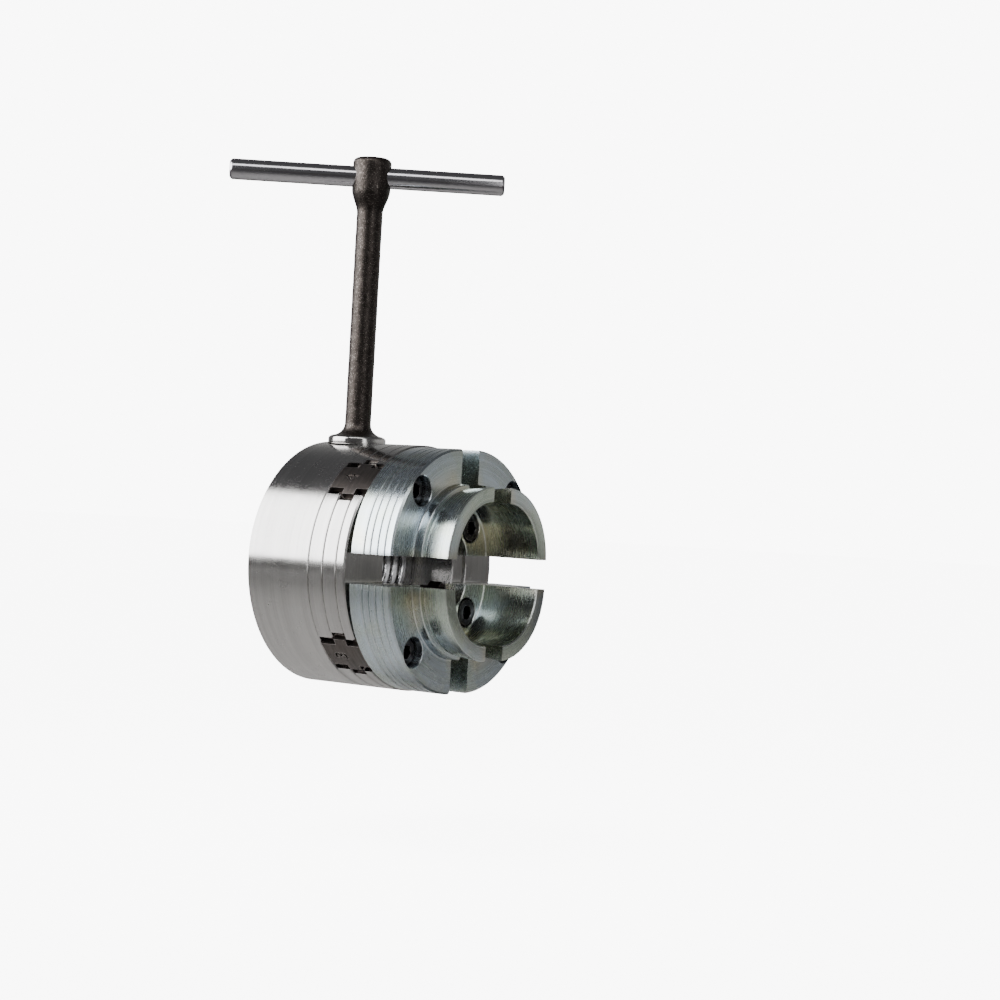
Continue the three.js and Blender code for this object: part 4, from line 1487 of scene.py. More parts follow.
@dataclass
class ScrollDrive:
    """The scroll ring, the pinion that turns it, and what holds them.

    Attributes:
        layout: the shared sizes.
        turns: how many turns the scroll has.
        ridge_reach: how far in front of the slots' rear its ridge ends.
        collar_wall: thickness of the ring's collar.
        tooth, tooth_root, tooth_tip: a tooth's thickness, and what it gains and loses each side.
        flank: slope of the ring's tooth flanks.
        journal_groove, groove_half: radius and half width of the groove that the pin runs in.
        socket_depth: depth of the pinion's square socket.
        pilot_sink: how far outside the hub's bore the pivot ends.
        retainer_stand, retainer_gap, retainer_edge: height, opening and edges of the retaining ring.
    """

    layout: Layout
    turns: int = 2
    ridge_reach: float = 3.0
    collar_wall: float = 3.9
    tooth: float = 2.1
    tooth_root: float = 0.1
    tooth_tip: float = 0.62
    flank: float = math.tan(math.radians(20))
    journal_groove: float = 7.4
    groove_half: float = 1.4
    socket_depth: float = 9.0
    pilot_sink: float = 0.9
    retainer_stand: float = 2.5
    retainer_gap: float = math.radians(40)
    retainer_edge: float = 0.15

    @property
    def pitch_radius(self) -> float:
        """The pinion's pitch radius at the big end of its teeth."""
        return self.layout.gear_outer * self.layout.pinion_teeth / self.layout.ring_teeth

    def bevelled(self, outline: Outline) -> Blank:
        """A bevel form that grows along Z from the apex.

        Args:
            outline: its outline at the big end of the teeth.

        Returns:
            The solid.
        """
        at = self.layout
        small = at.gear_inner / at.gear_outer
        first = [Vector((u * small, v * small, at.gear_inner)) for u, v in outline]
        return Blank.lofted(first, [Vector((u, v, at.gear_outer)) for u, v in outline])

    def spiral(self, rear: float, front: float) -> Blank:
        """The scroll's ridge, whose radius falls as the angle about X grows.

        Args:
            rear: station of its foot.
            front: station of its crest.

        Returns:
            The solid.
        """
        at = self.layout
        half = at.scroll_ridge / 2
        start = at.cavity_radius - 2 * at.clearance - half
        form = bmesh.new()
        sections = []
        for step in range(self.turns * FINE + 1):
            turn = math.tau * step / FINE
            radius = start - at.scroll_pitch * step / FINE
            inner, outer = radius - half, radius + half
            corners = ((inner, rear), (outer, rear), (outer, front), (inner, front))
            sections.append([form.verts.new(Axis.SPINDLE.place(r, x, turn)) for r, x in corners])
        for section, after in zip(sections, sections[1:]):
            for corner in range(4):
                other = (corner + 1) % 4
                form.faces.new((section[corner], section[other], after[other], after[corner]))
        form.faces.new(sections[0])
        form.faces.new(sections[-1])
        return Blank(form)

    def ring(self) -> None:
        """Builds the scroll ring: the scroll on its front, bevel teeth on its rear."""
        at = self.layout
        bore = at.hub_radius + at.clearance
        collar = bore + self.collar_wall
        outer = at.cavity_radius - at.clearance
        face = at.slot_rear - at.clearance
        fall = (self.pitch_radius + at.dedendum) / at.gear_outer
        outline = [
            (bore, at.collar_rear), (collar, at.collar_rear), (collar, at.pinion_axis + collar * fall),
            (outer, at.pinion_axis + outer * fall), (outer, face - BREAK), (outer - BREAK, face),
            (bore, face),
        ]
        ring = Blank.turned(outline, FINE)
        tip = self.tooth / 2 - at.addendum * self.flank
        root = self.tooth / 2 + (at.dedendum + WELD) * self.flank
        crest, foot = self.pitch_radius - at.addendum, self.pitch_radius + at.dedendum + WELD
        section = [(crest, -tip), (foot, -root), (foot, root), (crest, tip)]
        tooth = self.bevelled(section).moved(Matrix.Translation((at.pinion_axis, 0.0, 0.0)))
        ring.join(*tooth.around(at.ring_teeth))
        ring.join(self.spiral(face - WELD, at.slot_rear + self.ridge_reach))
        at.fit("scroll_ring", ring.mesh(), (GEAR_STEEL,), "scroll", "gear_steel", at.chuck_place())

    def pinion(self) -> None:
        """Builds the bevel pinion with its journal, pilot and square socket."""
        at = self.layout
        pitch = self.pitch_radius
        corners = [
            (pitch - at.dedendum, self.tooth / 2 + self.tooth_root), (pitch, self.tooth / 2),
            (pitch + at.addendum, self.tooth / 2 - self.tooth_tip),
        ]
        outline = []
        for index in range(at.pinion_teeth):
            middle = (index + 0.5) * math.tau / at.pinion_teeth
            sides = [(r, middle - half / r) for r, half in corners]
            sides += [(r, middle + half / r) for r, half in reversed(corners)]
            outline += [(r * math.cos(angle), r * math.sin(angle)) for r, angle in sides]
        root, foot = pitch - at.dedendum, at.gear_outer - WELD
        rear, top = at.gear_outer + at.clearance, at.journal_front
        journal, neck = at.journal_radius, self.journal_groove
        low, high = at.pin_height - self.groove_half, at.pin_height + self.groove_half
        barrel = Blank.turned([
            (0.0, foot), (root, foot), (root, rear), (journal - BREAK, rear), (journal, rear + BREAK),
            (journal, low), (neck, low), (neck, high), (journal, high),
            (journal, top - CHAMFER), (journal - CHAMFER, top), (0.0, top),
        ], MEDIUM, Axis.KEY)
        ends = (at.hub_bore + self.pilot_sink, at.gear_inner + WELD)
        pilot = Blank.rod(at.pilot_radius, *ends, SMALL, Axis.KEY)
        turn = at.key_turn + math.pi / 4
        across = at.key_square + at.clearance
        small, large = polygon(4, across, turn), polygon(4, across + 4 * CHAMFER, turn)
        square = Blank.prism(small, top - self.socket_depth, top + OVERRUN, Axis.KEY)
        mouth = Blank.lofted(
            [Vector((u, v, top - CHAMFER)) for u, v in small],
            [Vector((u, v, top + CHAMFER)) for u, v in large],
        )
        pinion = self.bevelled(outline).join(barrel, pilot).cut(square, mouth)
        at.fit("bevel_pinion", pinion.mesh(), (GEAR_STEEL,), "pinion", "gear_steel", at.key_place())

    def retainers(self) -> None:
        """Builds the ring that holds the scroll and the pin that holds the pinion."""
        at = self.layout
        inner = at.hub_radius - at.retainer_bite
        outer = at.hub_radius + self.retainer_stand
        rear = at.retainer_groove + at.clearance
        front = rear + at.retainer_thick
        corners = [(inner, rear), (outer, rear), (outer, front), (inner, front)]
        rounds = {1: self.retainer_edge, 2: self.retainer_edge}
        ring = Blank.turned(softened(corners, rounds), MEDIUM * 2)
        reach = outer + OVERRUN
        spread = reach * math.tan(self.retainer_gap / 2)
        wedge = [(0.0, 0.0), (-spread, -reach), (spread, -reach)]
        ring.cut(Blank.prism(wedge, rear - OVERRUN, front + NUDGE, Axis.SPINDLE))
        at.fit_to_chuck("scroll_retaining_ring", ring, SPRING_STEEL, "spring_steel")
        start = at.cover_thick + at.clearance
        end = start + at.pin_length
        radius = at.pin_radius
        corners = [(0.0, start), (radius, start), (radius, end), (0.0, end)]
        pin = Blank.turned(softened(corners, {1: BREAK, 2: BREAK}), SMALL)
        pin.moved(Matrix.Translation((0.0, at.pin_side, at.pin_height)))
        at.fit_to_chuck("pinion_retaining_pin", pin, SPRING_STEEL, "spring_steel")

    def build(self) -> None:
        """Builds the drive."""
        self.ring()
        self.pinion()
        self.retainers()


@dataclass(frozen=True)
class CapScrew:
    """Where a cap screw stands in a jaw.

    Attributes:
        end: which end of the jaw it holds.
        out: how far out it stands.
        seat: how high its seat is above the jaw's rear face.
    """

    end: str
    out: float
    seat: float


@dataclass
class JawSet:
    """The four slides, each with its jaw and two cap screws.

    Attributes:
        layout: the shared sizes.
        flange, rim, edge: thickness, rim beside the pockets and chamfer of a jaw's flange.
        floor, eye_wall: height of the floor at the jaw's inner end, and wall inside its screw.
        saw_cut: gap between two closed jaws.
        shoulder_radius, shoulder_length: size of the shoulder that the work seats on.
        shoulder_fillet: the round at its foot.
        neck_radius, neck_length: size of the neck in front of it.
        nose_radius, nose_length, nose_margin: size of the nose, and room round the pocket in it.
        mark_shares, mark_width, mark_depth: places and size of the fine grooves round the flange.
        closing: how far in the jaws travel.
        slide_inner, slide_edge: the slide's inner end, and the chamfer of its outer one.
        relief, relief_length: how much narrower its outer end is, and over what length.
        tooth, tooth_depth, tooth_inset: thickness, depth and first place of its teeth.
        numeral_height, numeral_depth, numeral_weight, numeral_back: the stamped numeral.
        screw_radius, screw_length, screw_point: size of a cap screw and of its point.
        screw_pitch, screw_thread, shank_sides: pitch, depth and steps of its thread.
        head_radius, head_height, head_room: size of its head, and room round it.
        hex_size, hex_depth: size of its socket.
        knurl_depth, knurl_inset, flutes: depth, inset and number of its knurls.
        tapped_depth, pocket_edge: depth of the slide's holes, and chamfer of the jaw's pockets.
        outer_screw, inner_screw: the two screws of a jaw.
        turn_by_jaw, turn_by_seat: degrees that set how far each screw is turned.
    """

    layout: Layout
    flange: float = 18.4
    rim: float = 0.5
    edge: float = 0.7
    floor: float = 9.0
    eye_wall: float = 0.8
    saw_cut: float = 1.6
    shoulder_radius: float = 27.5
    shoulder_length: float = 3.9
    shoulder_fillet: float = 0.7
    neck_radius: float = 25.8
    neck_length: float = 0.8
    nose_radius: float = 27.2
    nose_length: float = 15.1
    nose_margin: float = 0.5
    mark_shares: tuple[float, ...] = (0.326, 0.479, 0.652, 0.822)
    mark_width: float = 0.8
    mark_depth: float = 0.5
    closing: float = 6.5
    slide_inner: float = 18.0
    slide_edge: float = 0.25
    relief: float = 2.6
    relief_length: float = 3.0
    tooth: float = 2.0
    tooth_depth: float = 3.0
    tooth_inset: float = 0.6
    numeral_height: float = 5.6
    numeral_depth: float = 0.5
    numeral_weight: float = 0.08
    numeral_back: float = 1.0
    screw_radius: float = 3.0
    head_radius: float = 5.0
    head_height: float = 6.0
    head_room: float = 0.6
    hex_size: float = 5.0
    hex_depth: float = 3.0
    screw_length: float = 16.0
    screw_point: float = 0.6
    screw_pitch: float = 1.0
    screw_thread: float = 0.5
    shank_sides: int = 108
    knurl_depth: float = 0.22
    knurl_inset: float = 1.0
    flutes: int = 40
    tapped_depth: float = 13.5
    pocket_edge: float = 0.25
    outer_screw: CapScrew = CapScrew("outer", 34.4, 9.0)
    inner_screw: CapScrew = CapScrew("inner", 15.9, 3.0)
    turn_by_jaw: float = 17.0
    turn_by_seat: float = 31.0

    @property
    def pocket(self) -> float:
        """Radius of a screw's pocket."""
        return self.head_radius + self.head_room

    @property
    def screws(self) -> tuple[CapScrew, CapScrew]:
        """The two screws of a jaw."""
        return self.outer_screw, self.inner_screw

    def jaw_outline(self) -> Outline:
        """The outline that the ring of four jaws is turned to."""
        at = self.layout
        rear = at.jaw_rear
        front = rear + self.flange
        radius = self.outer_screw.out + self.pocket + self.rim
        bore = self.inner_screw.out + self.pocket + self.nose_margin
        eye = self.inner_screw.out - self.pocket - self.eye_wall
        shoulder = front + self.shoulder_length
        nose = front + self.nose_length
        floor = rear + self.floor
        stations = [rear + share * self.flange for share in self.mark_shares]
        marks = grooved(radius, stations, self.mark_width, self.mark_depth)
        foot = (self.shoulder_radius, front)
        fillet = rounded(foot, (radius, front), (self.shoulder_radius, shoulder), self.shoulder_fillet)
        return [
            (eye, rear), (radius - CHAMFER, rear), (radius, rear + CHAMFER),
            *marks,
            (radius, front - self.edge), (radius - self.edge, front),
            *fillet,
            (self.shoulder_radius, shoulder - 0.55), (self.shoulder_radius - 0.3, shoulder - 0.25),
            (self.neck_radius + 0.9, shoulder - 0.1), (self.neck_radius + 0.5, shoulder),
            (self.neck_radius, shoulder + 0.2), (self.neck_radius, shoulder + self.neck_length),
            (self.neck_radius + 0.35, shoulder + self.neck_length + 0.25),
            (self.nose_radius, nose - self.edge), (self.nose_radius - 0.12, nose - 0.25),
            (self.nose_radius - 0.6, nose), (bore - 0.1, nose), (bore - 0.5, nose - 0.4),
            (bore, front), (bore, floor + BREAK), (bore - BREAK, floor),
            (eye + BREAK, floor), (eye, floor - BREAK),
        ]

    def jaw_mesh(self) -> bpy.types.Mesh:
        """A jaw, as sawn from the turned ring and drilled.

        Returns:
            The mesh.
        """
        at = self.layout
        front = at.jaw_rear + self.flange
        rear, nose = at.jaw_rear - OVERRUN, front + self.nose_length + OVERRUN
        near, far = self.saw_cut / math.sqrt(2), 2 * at.radius
        quarter = [(0.0, near), (far, near + far), (-far, near + far)]
        wedge = Blank.prism(quarter, rear, nose, Axis.SPINDLE)
        jaw = Blank.turned(self.jaw_outline(), FINE).keep(wedge)
        for cap in self.screws:
            middle = (0.0, cap.out)
            hole = Blank.rod(self.screw_radius + at.clearance, rear, nose, SMALL, at=middle)
            pocket = Blank.rod(self.pocket, at.jaw_rear + cap.seat, nose, MEDIUM, at=middle)
            jaw.cut(hole, pocket)
            mouth = front if cap is self.outer_screw else at.jaw_rear + self.floor
            wide = self.pocket + self.pocket_edge
            foot = mouth - self.pocket_edge
            bevel = Blank.turned([
                (0.0, foot), (self.pocket, foot), (wide, mouth + SHAVE), (wide, mouth + NUDGE),
                (0.0, mouth + NUDGE),
            ], MEDIUM)
            jaw.cut(bevel.moved(Matrix.Translation((0.0, 0.0, cap.out))))
        return jaw.mesh()

    def tooth_radii(self, number: int) -> list[float]:
        """Radii of a slide's teeth, which lie in the spaces of the scroll.

        Args:
            number: the jaw's number.

        Returns:
            The radii, inner first.
        """
        at = self.layout
        pitch = at.scroll_pitch
        ridge = at.cavity_radius - 2 * at.clearance - at.scroll_ridge / 2
        space = ridge - (0.5 + at.jaw_turn(number) / math.tau) * pitch
        first = self.slide_inner + self.tooth_inset + self.tooth / 2
        radius = space - math.floor((space - first) / pitch) * pitch
        last = ridge + self.closing - pitch / 2
        radii = [radius]
        while radius <= last:
            radius += pitch
            radii.append(radius)
        return radii

    def slide_tooth(self, radius: float, face: float, back: float) -> Blank:
        """One curved tooth of a slide.

        Args:
            radius: where it sits.
            face: station of its crest.
            back: station of its root.

        Returns:
            The solid.
        """
        at = self.layout
        half = at.slot_half - at.clearance
        bore = at.hub_radius + at.clearance
        outer_radius = at.cavity_radius - at.clearance
        lead = at.scroll_pitch / math.tau / ((bore + outer_radius) / 2)
        steps = 8
        places = [half * step / steps for step in range(-steps, steps + 1)]

        def side(offset: float, bend: float) -> Outline:
            """One face of the tooth, as (y, z) points."""
            return [(y, radius + offset + lead * y - y * y / (2 * bend)) for y in places]

        inner = side(-self.tooth / 2, outer_radius + at.scroll_ridge)
        outer = side(self.tooth / 2, bore + at.scroll_ridge / 2)
        return Blank.prism([*inner, *outer[::-1]], face, back + WELD, Axis.SPINDLE)

    def numeral(self, number: int, station: float) -> Blank:
        """A cutter for the jaw's number, stamped in the outer end of its slide.

        Args:
            number: the number.
            station: where its middle is.

        Returns:
            The cutter.
        """
        text = bpy.data.curves.new("numeral", "FONT")
        text.body = str(number)
        text.size = self.numeral_height * 1.4
        text.offset = self.numeral_weight
        text.align_x = "CENTER"
        text.align_y = "CENTER"
        text.extrude = OVERRUN
        text.resolution_u = 6
        holder = placed("numeral", text)
        bpy.context.view_layer.update()
        seen = holder.evaluated_get(bpy.context.evaluated_depsgraph_get())
        form = bmesh.new()
        form.from_mesh(bpy.data.meshes.new_from_object(seen))
        bpy.data.objects.remove(holder)
        reads = Matrix(((0.0, -1.0, 0.0), (1.0, 0.0, 0.0), (0.0, 0.0, 1.0))).to_4x4()
        height = self.layout.radius + OVERRUN - self.numeral_depth
        lifted = Matrix.Translation((station, 0.0, height))
        bmesh.ops.transform(form, matrix=lifted @ reads, verts=form.verts)
        return Blank(form)

    def slide(self, number: int) -> None:
        """Builds a slide and fits it.

        Args:
            number: the jaw's number.
        """
        at = self.layout
        front = at.jaw_rear - at.clearance
        face = at.slot_rear + at.clearance
        back = face + self.tooth_depth
        shoulder = at.radius - self.relief_length
        wide = at.slide_section(0.0, front)
        narrow = [(x, y - math.copysign(self.relief, y)) for x, y in wide]
        slide = Blank.prism(wide, self.slide_inner, shoulder, Axis.KEY)
        slide.join(Blank.prism(narrow, shoulder - WELD, at.radius + OVERRUN, Axis.KEY))
        barrel = Blank.turned([
            (0.0, face - OVERRUN), (at.radius, face - OVERRUN), (at.radius, front - self.slide_edge),
            (at.radius - self.slide_edge, front + SHAVE), (0.0, front + SHAVE),
        ], FINE)
        slide.keep(barrel)
        whole = slide.copied(Matrix.Identity(4))
        radii = self.tooth_radii(number)
        wing = at.slot_half + at.wing_reach
        inwards = (self.slide_inner - OVERRUN, radii[-1])
        slide.cut(Blank.box((face - OVERRUN, back), (-wing, wing), inwards))
        for radius in radii:
            tooth = self.slide_tooth(radius, face, back)
            slide.join(tooth.keep(whole.copied(Matrix.Identity(4))))
        whole.scrap()
        tapped = (front - self.tapped_depth, front + OVERRUN)
        for cap in self.screws:
            place = (0.0, cap.out + at.jaw_opening)
            slide.cut(Blank.rod(self.screw_radius + at.clearance, *tapped, SMALL, at=place))
        slide.cut(self.numeral(number, (at.slot_rear + at.length) / 2 - self.numeral_back))
        at.fit(
            f"jaw_slide_{number}", slide.mesh(), (SLIDE_STEEL,), f"jaw_unit_{number}", "slide_steel",
            at.unit_place(number),
        )

    def screw_mesh(self) -> bpy.types.Mesh:
        """A knurled cap screw; its origin is under its head.

        Returns:
            The mesh.
        """
        length, radius, point = self.screw_length, self.screw_radius, self.screw_point
        head, top, plain = self.head_radius, self.head_height, self.knurl_inset
        outline = [
            (0.0, -length), (radius - point, -length),
            *threadable(radius, point - length, -plain, self.shank_sides),
            (radius, 0.0), (head - 0.25, 0.0), (head, 0.25), (head, plain - 0.1), (head, plain + 0.1),
            (head, top - plain - 0.1), (head, top - plain + 0.1), (head, top - 0.6),
            (head - 0.2, top - 0.2), (head - 0.7, top), (0.0, top),
        ]
        thread = helix(self.screw_pitch, self.screw_thread, CHAMFER - length, 0.1 - plain, point)

        def ripple(radius_here: float, along: float, turn: float) -> float:
            """Threads the shank and knurls the head."""
            if along < 0:
                return thread(radius_here, along, turn)
            if radius_here == head and plain < along < top - plain:
                return head - self.knurl_depth * abs(math.sin(turn * self.flutes / 2))
            return radius_here

        screw = Blank.turned(outline, self.flutes * 4, ripple=ripple)
        return screw.cut(socket(self.hex_size, top, self.hex_depth)).mesh()

    def build(self) -> None:
        """Builds the four slides, jaws and pairs of screws."""
        at = self.layout
        jaw = self.jaw_mesh()
        screw = self.screw_mesh()
        for number in range(1, at.jaw_count + 1):
            body = f"jaw_unit_{number}"
            self.slide(number)
            place = at.unit_place(number, at.jaw_opening)
            at.fit(f"jaw_{number}", jaw, (JAW_PLATE,), body, "jaw_plate", place)
            for cap in self.screws:
                along = at.jaw_rear + cap.seat + at.clearance
                turn = math.radians(self.turn_by_jaw * number + self.turn_by_seat * cap.seat)
                place = at.unit_place(number, cap.out + at.jaw_opening, along)
                place = place @ Matrix.Rotation(turn, 4, "X")
                name = f"jaw_screw_{number}_{cap.end}"
                at.fit(name, screw, (BLACK_OXIDE,), body, "black_screw", place)


@dataclass
class ChuckKey:
    """The T-handled key: a forged shank with a polished collar, and a loose bright bar.

    Attributes:
        layout: the shared sizes.
        shank: radius of the shank.
        neck, foot: heights where the boss starts to widen and is at its widest.
        bar_height: height of the bar.
        length: height of the boss's top.
        head_radius, head_round: size of the boss, and the round at its top.
        collar_edge, collar_height, collar_round: lower round, height and upper round of the collar.
        drive, drive_point: length of the square, and of its point.
        polish: how far above the collar it is polished.
        bar_radius, bar_length, bar_shift, bar_chamfer: size of the bar, and how far off the middle.
        unevenness: depth of the forging's waves.
    """

    layout: Layout
    shank: float = 5.0
    neck: float = 88.6
    foot: float = 97.7
    bar_height: float = 102.5
    length: float = 109.8
    head_radius: float = 7.4
    head_round: float = 2.1
    collar_edge: float = 0.5
    collar_height: float = 2.4
    collar_round: float = 1.2
    drive: float = 9.0
    drive_point: float = 0.6
    polish: float = 0.75
    bar_radius: float = 4.0
    bar_length: float = 105.0
    bar_shift: float = -1.6
    bar_chamfer: float = 0.8
    unevenness: float = 0.035

    def shank_outline(self) -> Outline:
        """The outline of the shank, from the underside of its collar up."""
        seat = self.layout.key_seat
        collar = self.layout.collar_radius
        top = seat + self.collar_height
        flare = collar - self.shank - self.collar_round
        rise = top + 1.1
        points = [(0.0, seat)]
        points += rounded((collar, seat), (0.0, seat), (collar, top), self.collar_edge)
        points += rounded((collar, top + 0.35), (collar, seat), (collar - 1.6, rise + 0.1), 0.8, 6)
        for angle in quarter_turn(16):
            points.append((
                self.shank + flare * (1 - math.sin(angle)),
                rise + flare * (1 - math.cos(angle)),
            ))
        foot, head = seat + self.foot, seat + self.length
        steps = 12
        for step in range(steps + 1):
            share = step / steps
            ease = share * share * (3 - 2 * share)
            widen = (self.head_radius - self.shank) * ease
            points.append((self.shank + widen, seat + self.neck + (self.foot - self.neck) * share))
        points.append((self.head_radius - 0.12, (foot + head) / 2))
        points.append((self.head_radius, head - self.head_round))
        for angle in quarter_turn(8):
            points.append((
                self.head_radius - self.head_round * (1 - math.cos(angle)),
                head - self.head_round * (1 - math.sin(angle)),
            ))
        points.append((self.head_radius * 0.45, head - 0.02))
        points.append((0.0, head))
        return [(radius, min(height, head)) for radius, height in points]

    def hammered(self) -> Ripple:
        """The slight unevenness that forging leaves above the collar."""
        start = self.layout.key_seat + self.collar_height + 2.5

        def radius_at(radius: float, along: float, turn: float) -> float:
            """The radius of the forging at a point of it."""
            if along < start or radius < 1:
                return radius
            wave = math.sin(along * 0.9 + 2 * math.sin(turn)) + math.sin(along * 0.37 + 3 * turn + 1.0)
            return radius - self.unevenness * (1 + 0.5 * wave)

        return radius_at

    def build_shank(self) -> None:
        """Builds the shank with its square drive and cross hole."""
        at = self.layout
        seat = at.key_seat
        corners = self.shank_outline()
        outline = [point for pair in zip(corners, corners[1:]) for point in self.filled(*pair)]
        shank = Blank.turned([*outline, corners[-1]], MEDIUM, Axis.KEY, self.hammered())
        turn = math.pi / 4
        tip = seat - self.drive
        small = polygon(4, at.key_square - 1.0, turn)
        full = polygon(4, at.key_square, turn)
        square = Blank.prism(full, tip + self.drive_point, seat + WELD, Axis.KEY)
        point = Blank.lofted(
            [Vector((u, v, tip)) for u, v in small],
            [Vector((u, v, tip + self.drive_point + 0.01)) for u, v in full],
        )
        hole = Blank.rod(
            self.bar_radius + at.clearance, -at.collar_radius, at.collar_radius, SMALL,
            at=(0.0, seat + self.bar_height),
        )
        mesh = shank.join(square.join(point)).cut(hole).mesh()
        place = at.key_place(at.key_turn)
        piece = at.fit("key_shank", mesh, (FORGED_STEEL, COLLAR_STEEL), "key", "forged_steel", place)
        polished = (seat + self.collar_height + self.polish) * MM
        for face in piece.data.polygons:
            face.material_index = 1 if face.center.z < polished else 0

    @staticmethod
    def filled(start: Point, end: Point, longest: float = 1.5) -> Outline:
        """Points from one to just before another, no farther apart than a length."""
        count = max(1, math.ceil(math.dist(start, end) / longest))
        wide, high = end[0] - start[0], end[1] - start[1]
        return [
            (start[0] + wide * step / count, start[1] + high * step / count) for step in range(count)
        ]

    def build_bar(self) -> None:
        """Builds the bar, with chamfered and centre-drilled ends."""
        at = self.layout
        end, radius, chamfer = -self.bar_length / 2, self.bar_radius, self.bar_chamfer
        outline = [
            (0.0, end + 0.7), (0.5, end + 0.4), (0.9, end), (radius - chamfer - 0.15, end),
            (radius - chamfer + 0.1, end + 0.12), (radius - 0.1, end + chamfer),
            (radius, end + chamfer + BREAK),
        ]
        outline += [(r, -x) for r, x in reversed(outline)]
        bar = Blank.turned(outline, MEDIUM)
        height = (at.key_seat + self.bar_height) * MM
        place = at.key_place(at.key_turn) @ Matrix.Translation((self.bar_shift * MM, 0.0, height))
        at.fit("key_bar", bar.mesh(), (BAR_STEEL,), "key", "bright_bar", place)

    def build(self) -> None:
        """Builds the key."""
        self.build_shank()
        self.build_bar()


# ------------ the studio


class LightUse(Enum):
    """What a light is for."""

    GLOSS = "seen in reflections"
    FILL = "lights the floor and the matt pieces"


def outward(azimuth: float, elevation: float) -> Vector:
    """The direction at an azimuth and an elevation; 0 is in front along -Y, 90 on the +X side."""
    turn, lift = math.radians(azimuth), math.radians(elevation)
    return Vector((math.sin(turn) * math.cos(lift), -math.cos(turn) * math.cos(lift), math.sin(lift)))


@dataclass(frozen=True)
class Softbox:
    """A soft rectangular light that faces the object.

    Attributes:
        name: its name.
        azimuth, elevation: where it stands, in degrees.
        distance: how far it is, in metres.
        width, height: its size in metres.
        radiance: how bright its face is.
        use: whether it is seen in reflections or lights the floor.
        spread: how wide its beam is, in degrees.
    """

    name: str
    azimuth: float
    elevation: float
    distance: float
    width: float
    height: float
    radiance: float
    use: LightUse = LightUse.GLOSS
    spread: float = 180.0

    def build(self, aim: Vector) -> None:
        """Builds the light.

        Args:
            aim: the point that it faces, in metres.
        """
        data = bpy.data.lights.new(self.name, "AREA")
        data.shape = "RECTANGLE"
        data.size = self.width
        data.size_y = self.height
        data.energy = self.radiance * self.width * self.height * math.pi
        data.spread = math.radians(self.spread)
        light = placed(self.name, data)
        light.visible_camera = False
        light.visible_glossy = self.use is LightUse.GLOSS
        light.visible_diffuse = self.use is LightUse.FILL
        back = outward(self.azimuth, self.elevation)
        facing = back.to_track_quat("Z", "Y").to_matrix().to_4x4()
        light.matrix_world = Matrix.Translation(aim + back * self.distance) @ facing


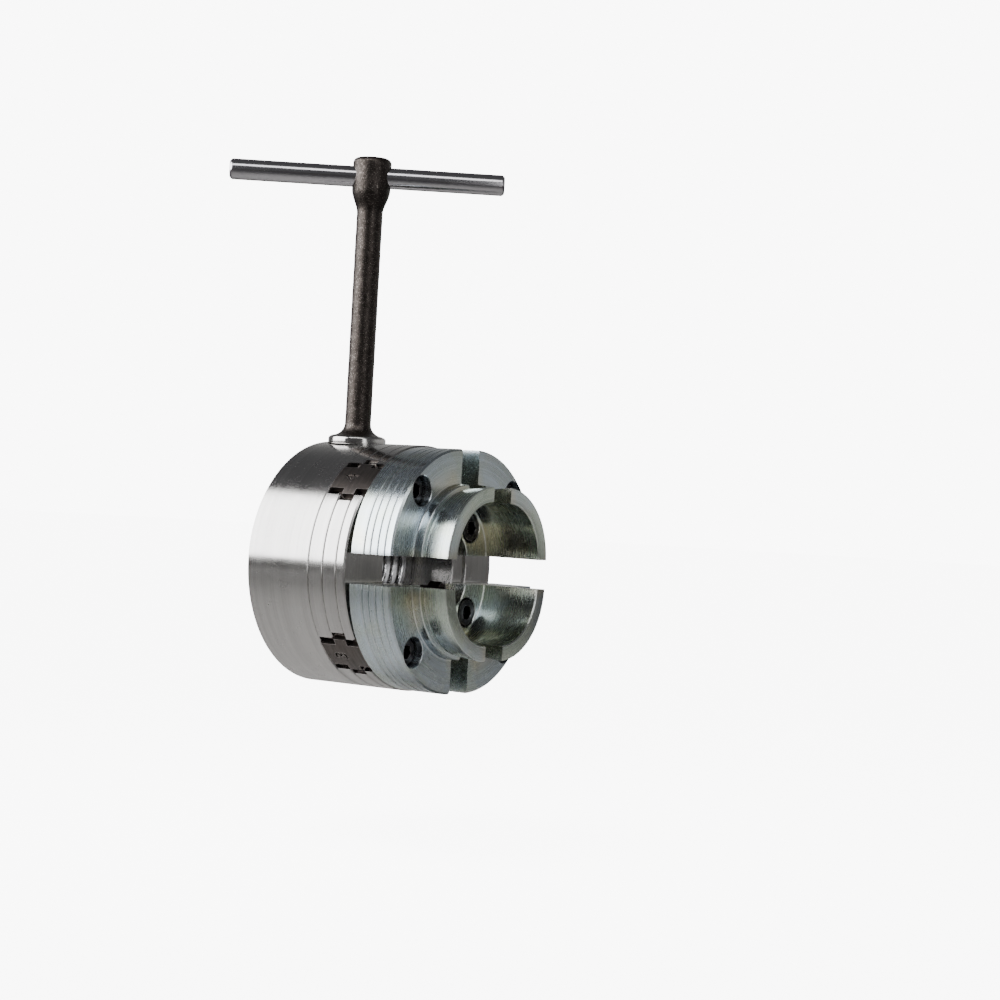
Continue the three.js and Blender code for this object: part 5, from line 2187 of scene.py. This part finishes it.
@dataclass
class Studio:
    """The floor, the lights, the surroundings and the camera.

    Attributes:
        azimuth, elevation: where the camera stands, in degrees.
        roll: how far it leans, in degrees.
        distance: how far it is from the point that it aims at, in millimetres.
        aim: that point, in millimetres.
        lens: its focal length.
        floor_drop: how far the floor lies below the spindle axis.
        floor_radius: how far it reaches.
        floor_glow, wall_glow: how bright the camera sees the floor and the wall behind.
        lights: the lights.
    """

    azimuth: float = 34.33
    elevation: float = 0.13
    roll: float = 3.24
    distance: float = 825.0
    aim: tuple[float, float, float] = (72.1, 22.9, 27.2)
    lens: float = 78.57
    floor_drop: float = 100.0
    floor_radius: float = 6000.0
    floor_glow: float = 8.5
    wall_glow: float = 9.0
    lights: tuple[Softbox, ...] = (
        Softbox("key_softbox", -43.0, 21.5, 0.95, 1.15, 0.8, 9.0),
        Softbox("front_softbox", 34.0, 48.0, 1.3, 1.2, 0.4, 4.0),
        Softbox("side_softbox", 68.0, 8.0, 1.1, 0.24, 0.9, 3.0),
        Softbox("floor_light", -40.0, 68.0, 0.55, 0.3, 0.3, 3.4, LightUse.FILL, 75.0),
    )

    def camera(self) -> None:
        """Builds the camera."""
        turn, lean = math.radians(self.azimuth), math.radians(self.roll)
        back = outward(self.azimuth, self.elevation)
        level = Vector((math.cos(turn), math.sin(turn), 0.0))
        right = level * math.cos(lean) + back.cross(level) * math.sin(lean)
        up = back.cross(right)
        data = bpy.data.cameras.new("camera")
        data.lens = self.lens
        data.sensor_width = 36.0
        data.clip_start = 0.01
        data.clip_end = 100.0
        camera = placed("camera", data)
        place = Vector(self.aim) * MM + back * self.distance * MM
        camera.matrix_world = Matrix((
            (right.x, up.x, back.x, place.x),
            (right.y, up.y, back.y, place.y),
            (right.z, up.z, back.z, place.z),
            (0.0, 0.0, 0.0, 1.0),
        ))
        bpy.context.scene.camera = camera

    def floor(self) -> None:
        """Builds the plain pale floor."""
        form = bmesh.new()
        bmesh.ops.create_circle(form, cap_ends=True, segments=96, radius=self.floor_radius * MM)
        mesh = bpy.data.meshes.new("floor")
        form.to_mesh(mesh)
        form.free()
        floor = placed("floor", mesh)
        floor.location.z = -self.floor_drop * MM
        material = bpy.data.materials.new("pale_floor")
        material.use_nodes = True
        board = Board(material.node_tree)
        shader = material.node_tree.nodes["Principled BSDF"]
        shader.inputs["Base Color"].default_value = (0.62, 0.61, 0.60, 1.0)
        shader.inputs["Roughness"].default_value = 0.9
        seen = board.add("ShaderNodeLightPath").outputs["Is Camera Ray"]
        glow = board.add("ShaderNodeEmission")
        glow.inputs["Color"].default_value = (1.0, 1.0, 1.0, 1.0)
        board.feed(glow.inputs["Strength"], board.maths("MULTIPLY", seen, self.floor_glow))
        total = board.add("ShaderNodeAddShader")
        board.feed(total.inputs[0], shader.outputs[0])
        board.feed(total.inputs[1], glow.outputs[0])
        board.feed(material.node_tree.nodes["Material Output"].inputs["Surface"], total.outputs[0])
        mesh.materials.append(material)
        floor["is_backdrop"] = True

    def surroundings(self) -> None:
        """Sets the walls: white behind the object, and in reflections dim above and grey behind."""
        world = bpy.data.worlds.new("studio")
        bpy.context.scene.world = world
        world.use_nodes = True
        world.node_tree.nodes.clear()
        board = Board(world.node_tree)
        parts = board.add("ShaderNodeSeparateXYZ")
        board.feed(parts.inputs[0], board.add("ShaderNodeTexCoord").outputs["Generated"])
        low = board.remap(parts.outputs[2], (0.1, 0.75), (1.0, 0.0))
        behind = board.remap(parts.outputs[1], (-0.05, 0.75), (0.0, 1.0))
        share = board.maths("MULTIPLY", low, behind)
        walls = board.blend(share, (0.105, 0.106, 0.11), (0.56, 0.56, 0.55))
        path = board.add("ShaderNodeLightPath")
        lit = board.blend(path.outputs["Is Diffuse Ray"], walls, (0.1, 0.1, 0.1))
        white = board.blend(path.outputs["Is Camera Ray"], lit, (self.wall_glow,) * 3)
        sky = board.add("ShaderNodeBackground")
        board.feed(sky.inputs["Color"], white)
        output = board.add("ShaderNodeOutputWorld")
        board.feed(output.inputs["Surface"], sky.outputs[0])

    def build(self) -> None:
        """Builds the studio."""
        self.camera()
        self.floor()
        self.surroundings()
        low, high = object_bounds()
        for light in self.lights:
            light.build((low + high) / 2)


def main() -> None:
    """Builds the studio and every sub-assembly."""
    logging.basicConfig(level=logging.INFO, format="%(message)s")
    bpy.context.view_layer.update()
    Studio().build()
    layout = Layout.measured(Effects.built())
    for assembly in (ChuckBody, RearGroup, ScrollDrive, JawSet, ChuckKey):
        assembly(layout).build()
        log.info("%s built", assembly.__name__)


if __name__ == "__main__":
    main()
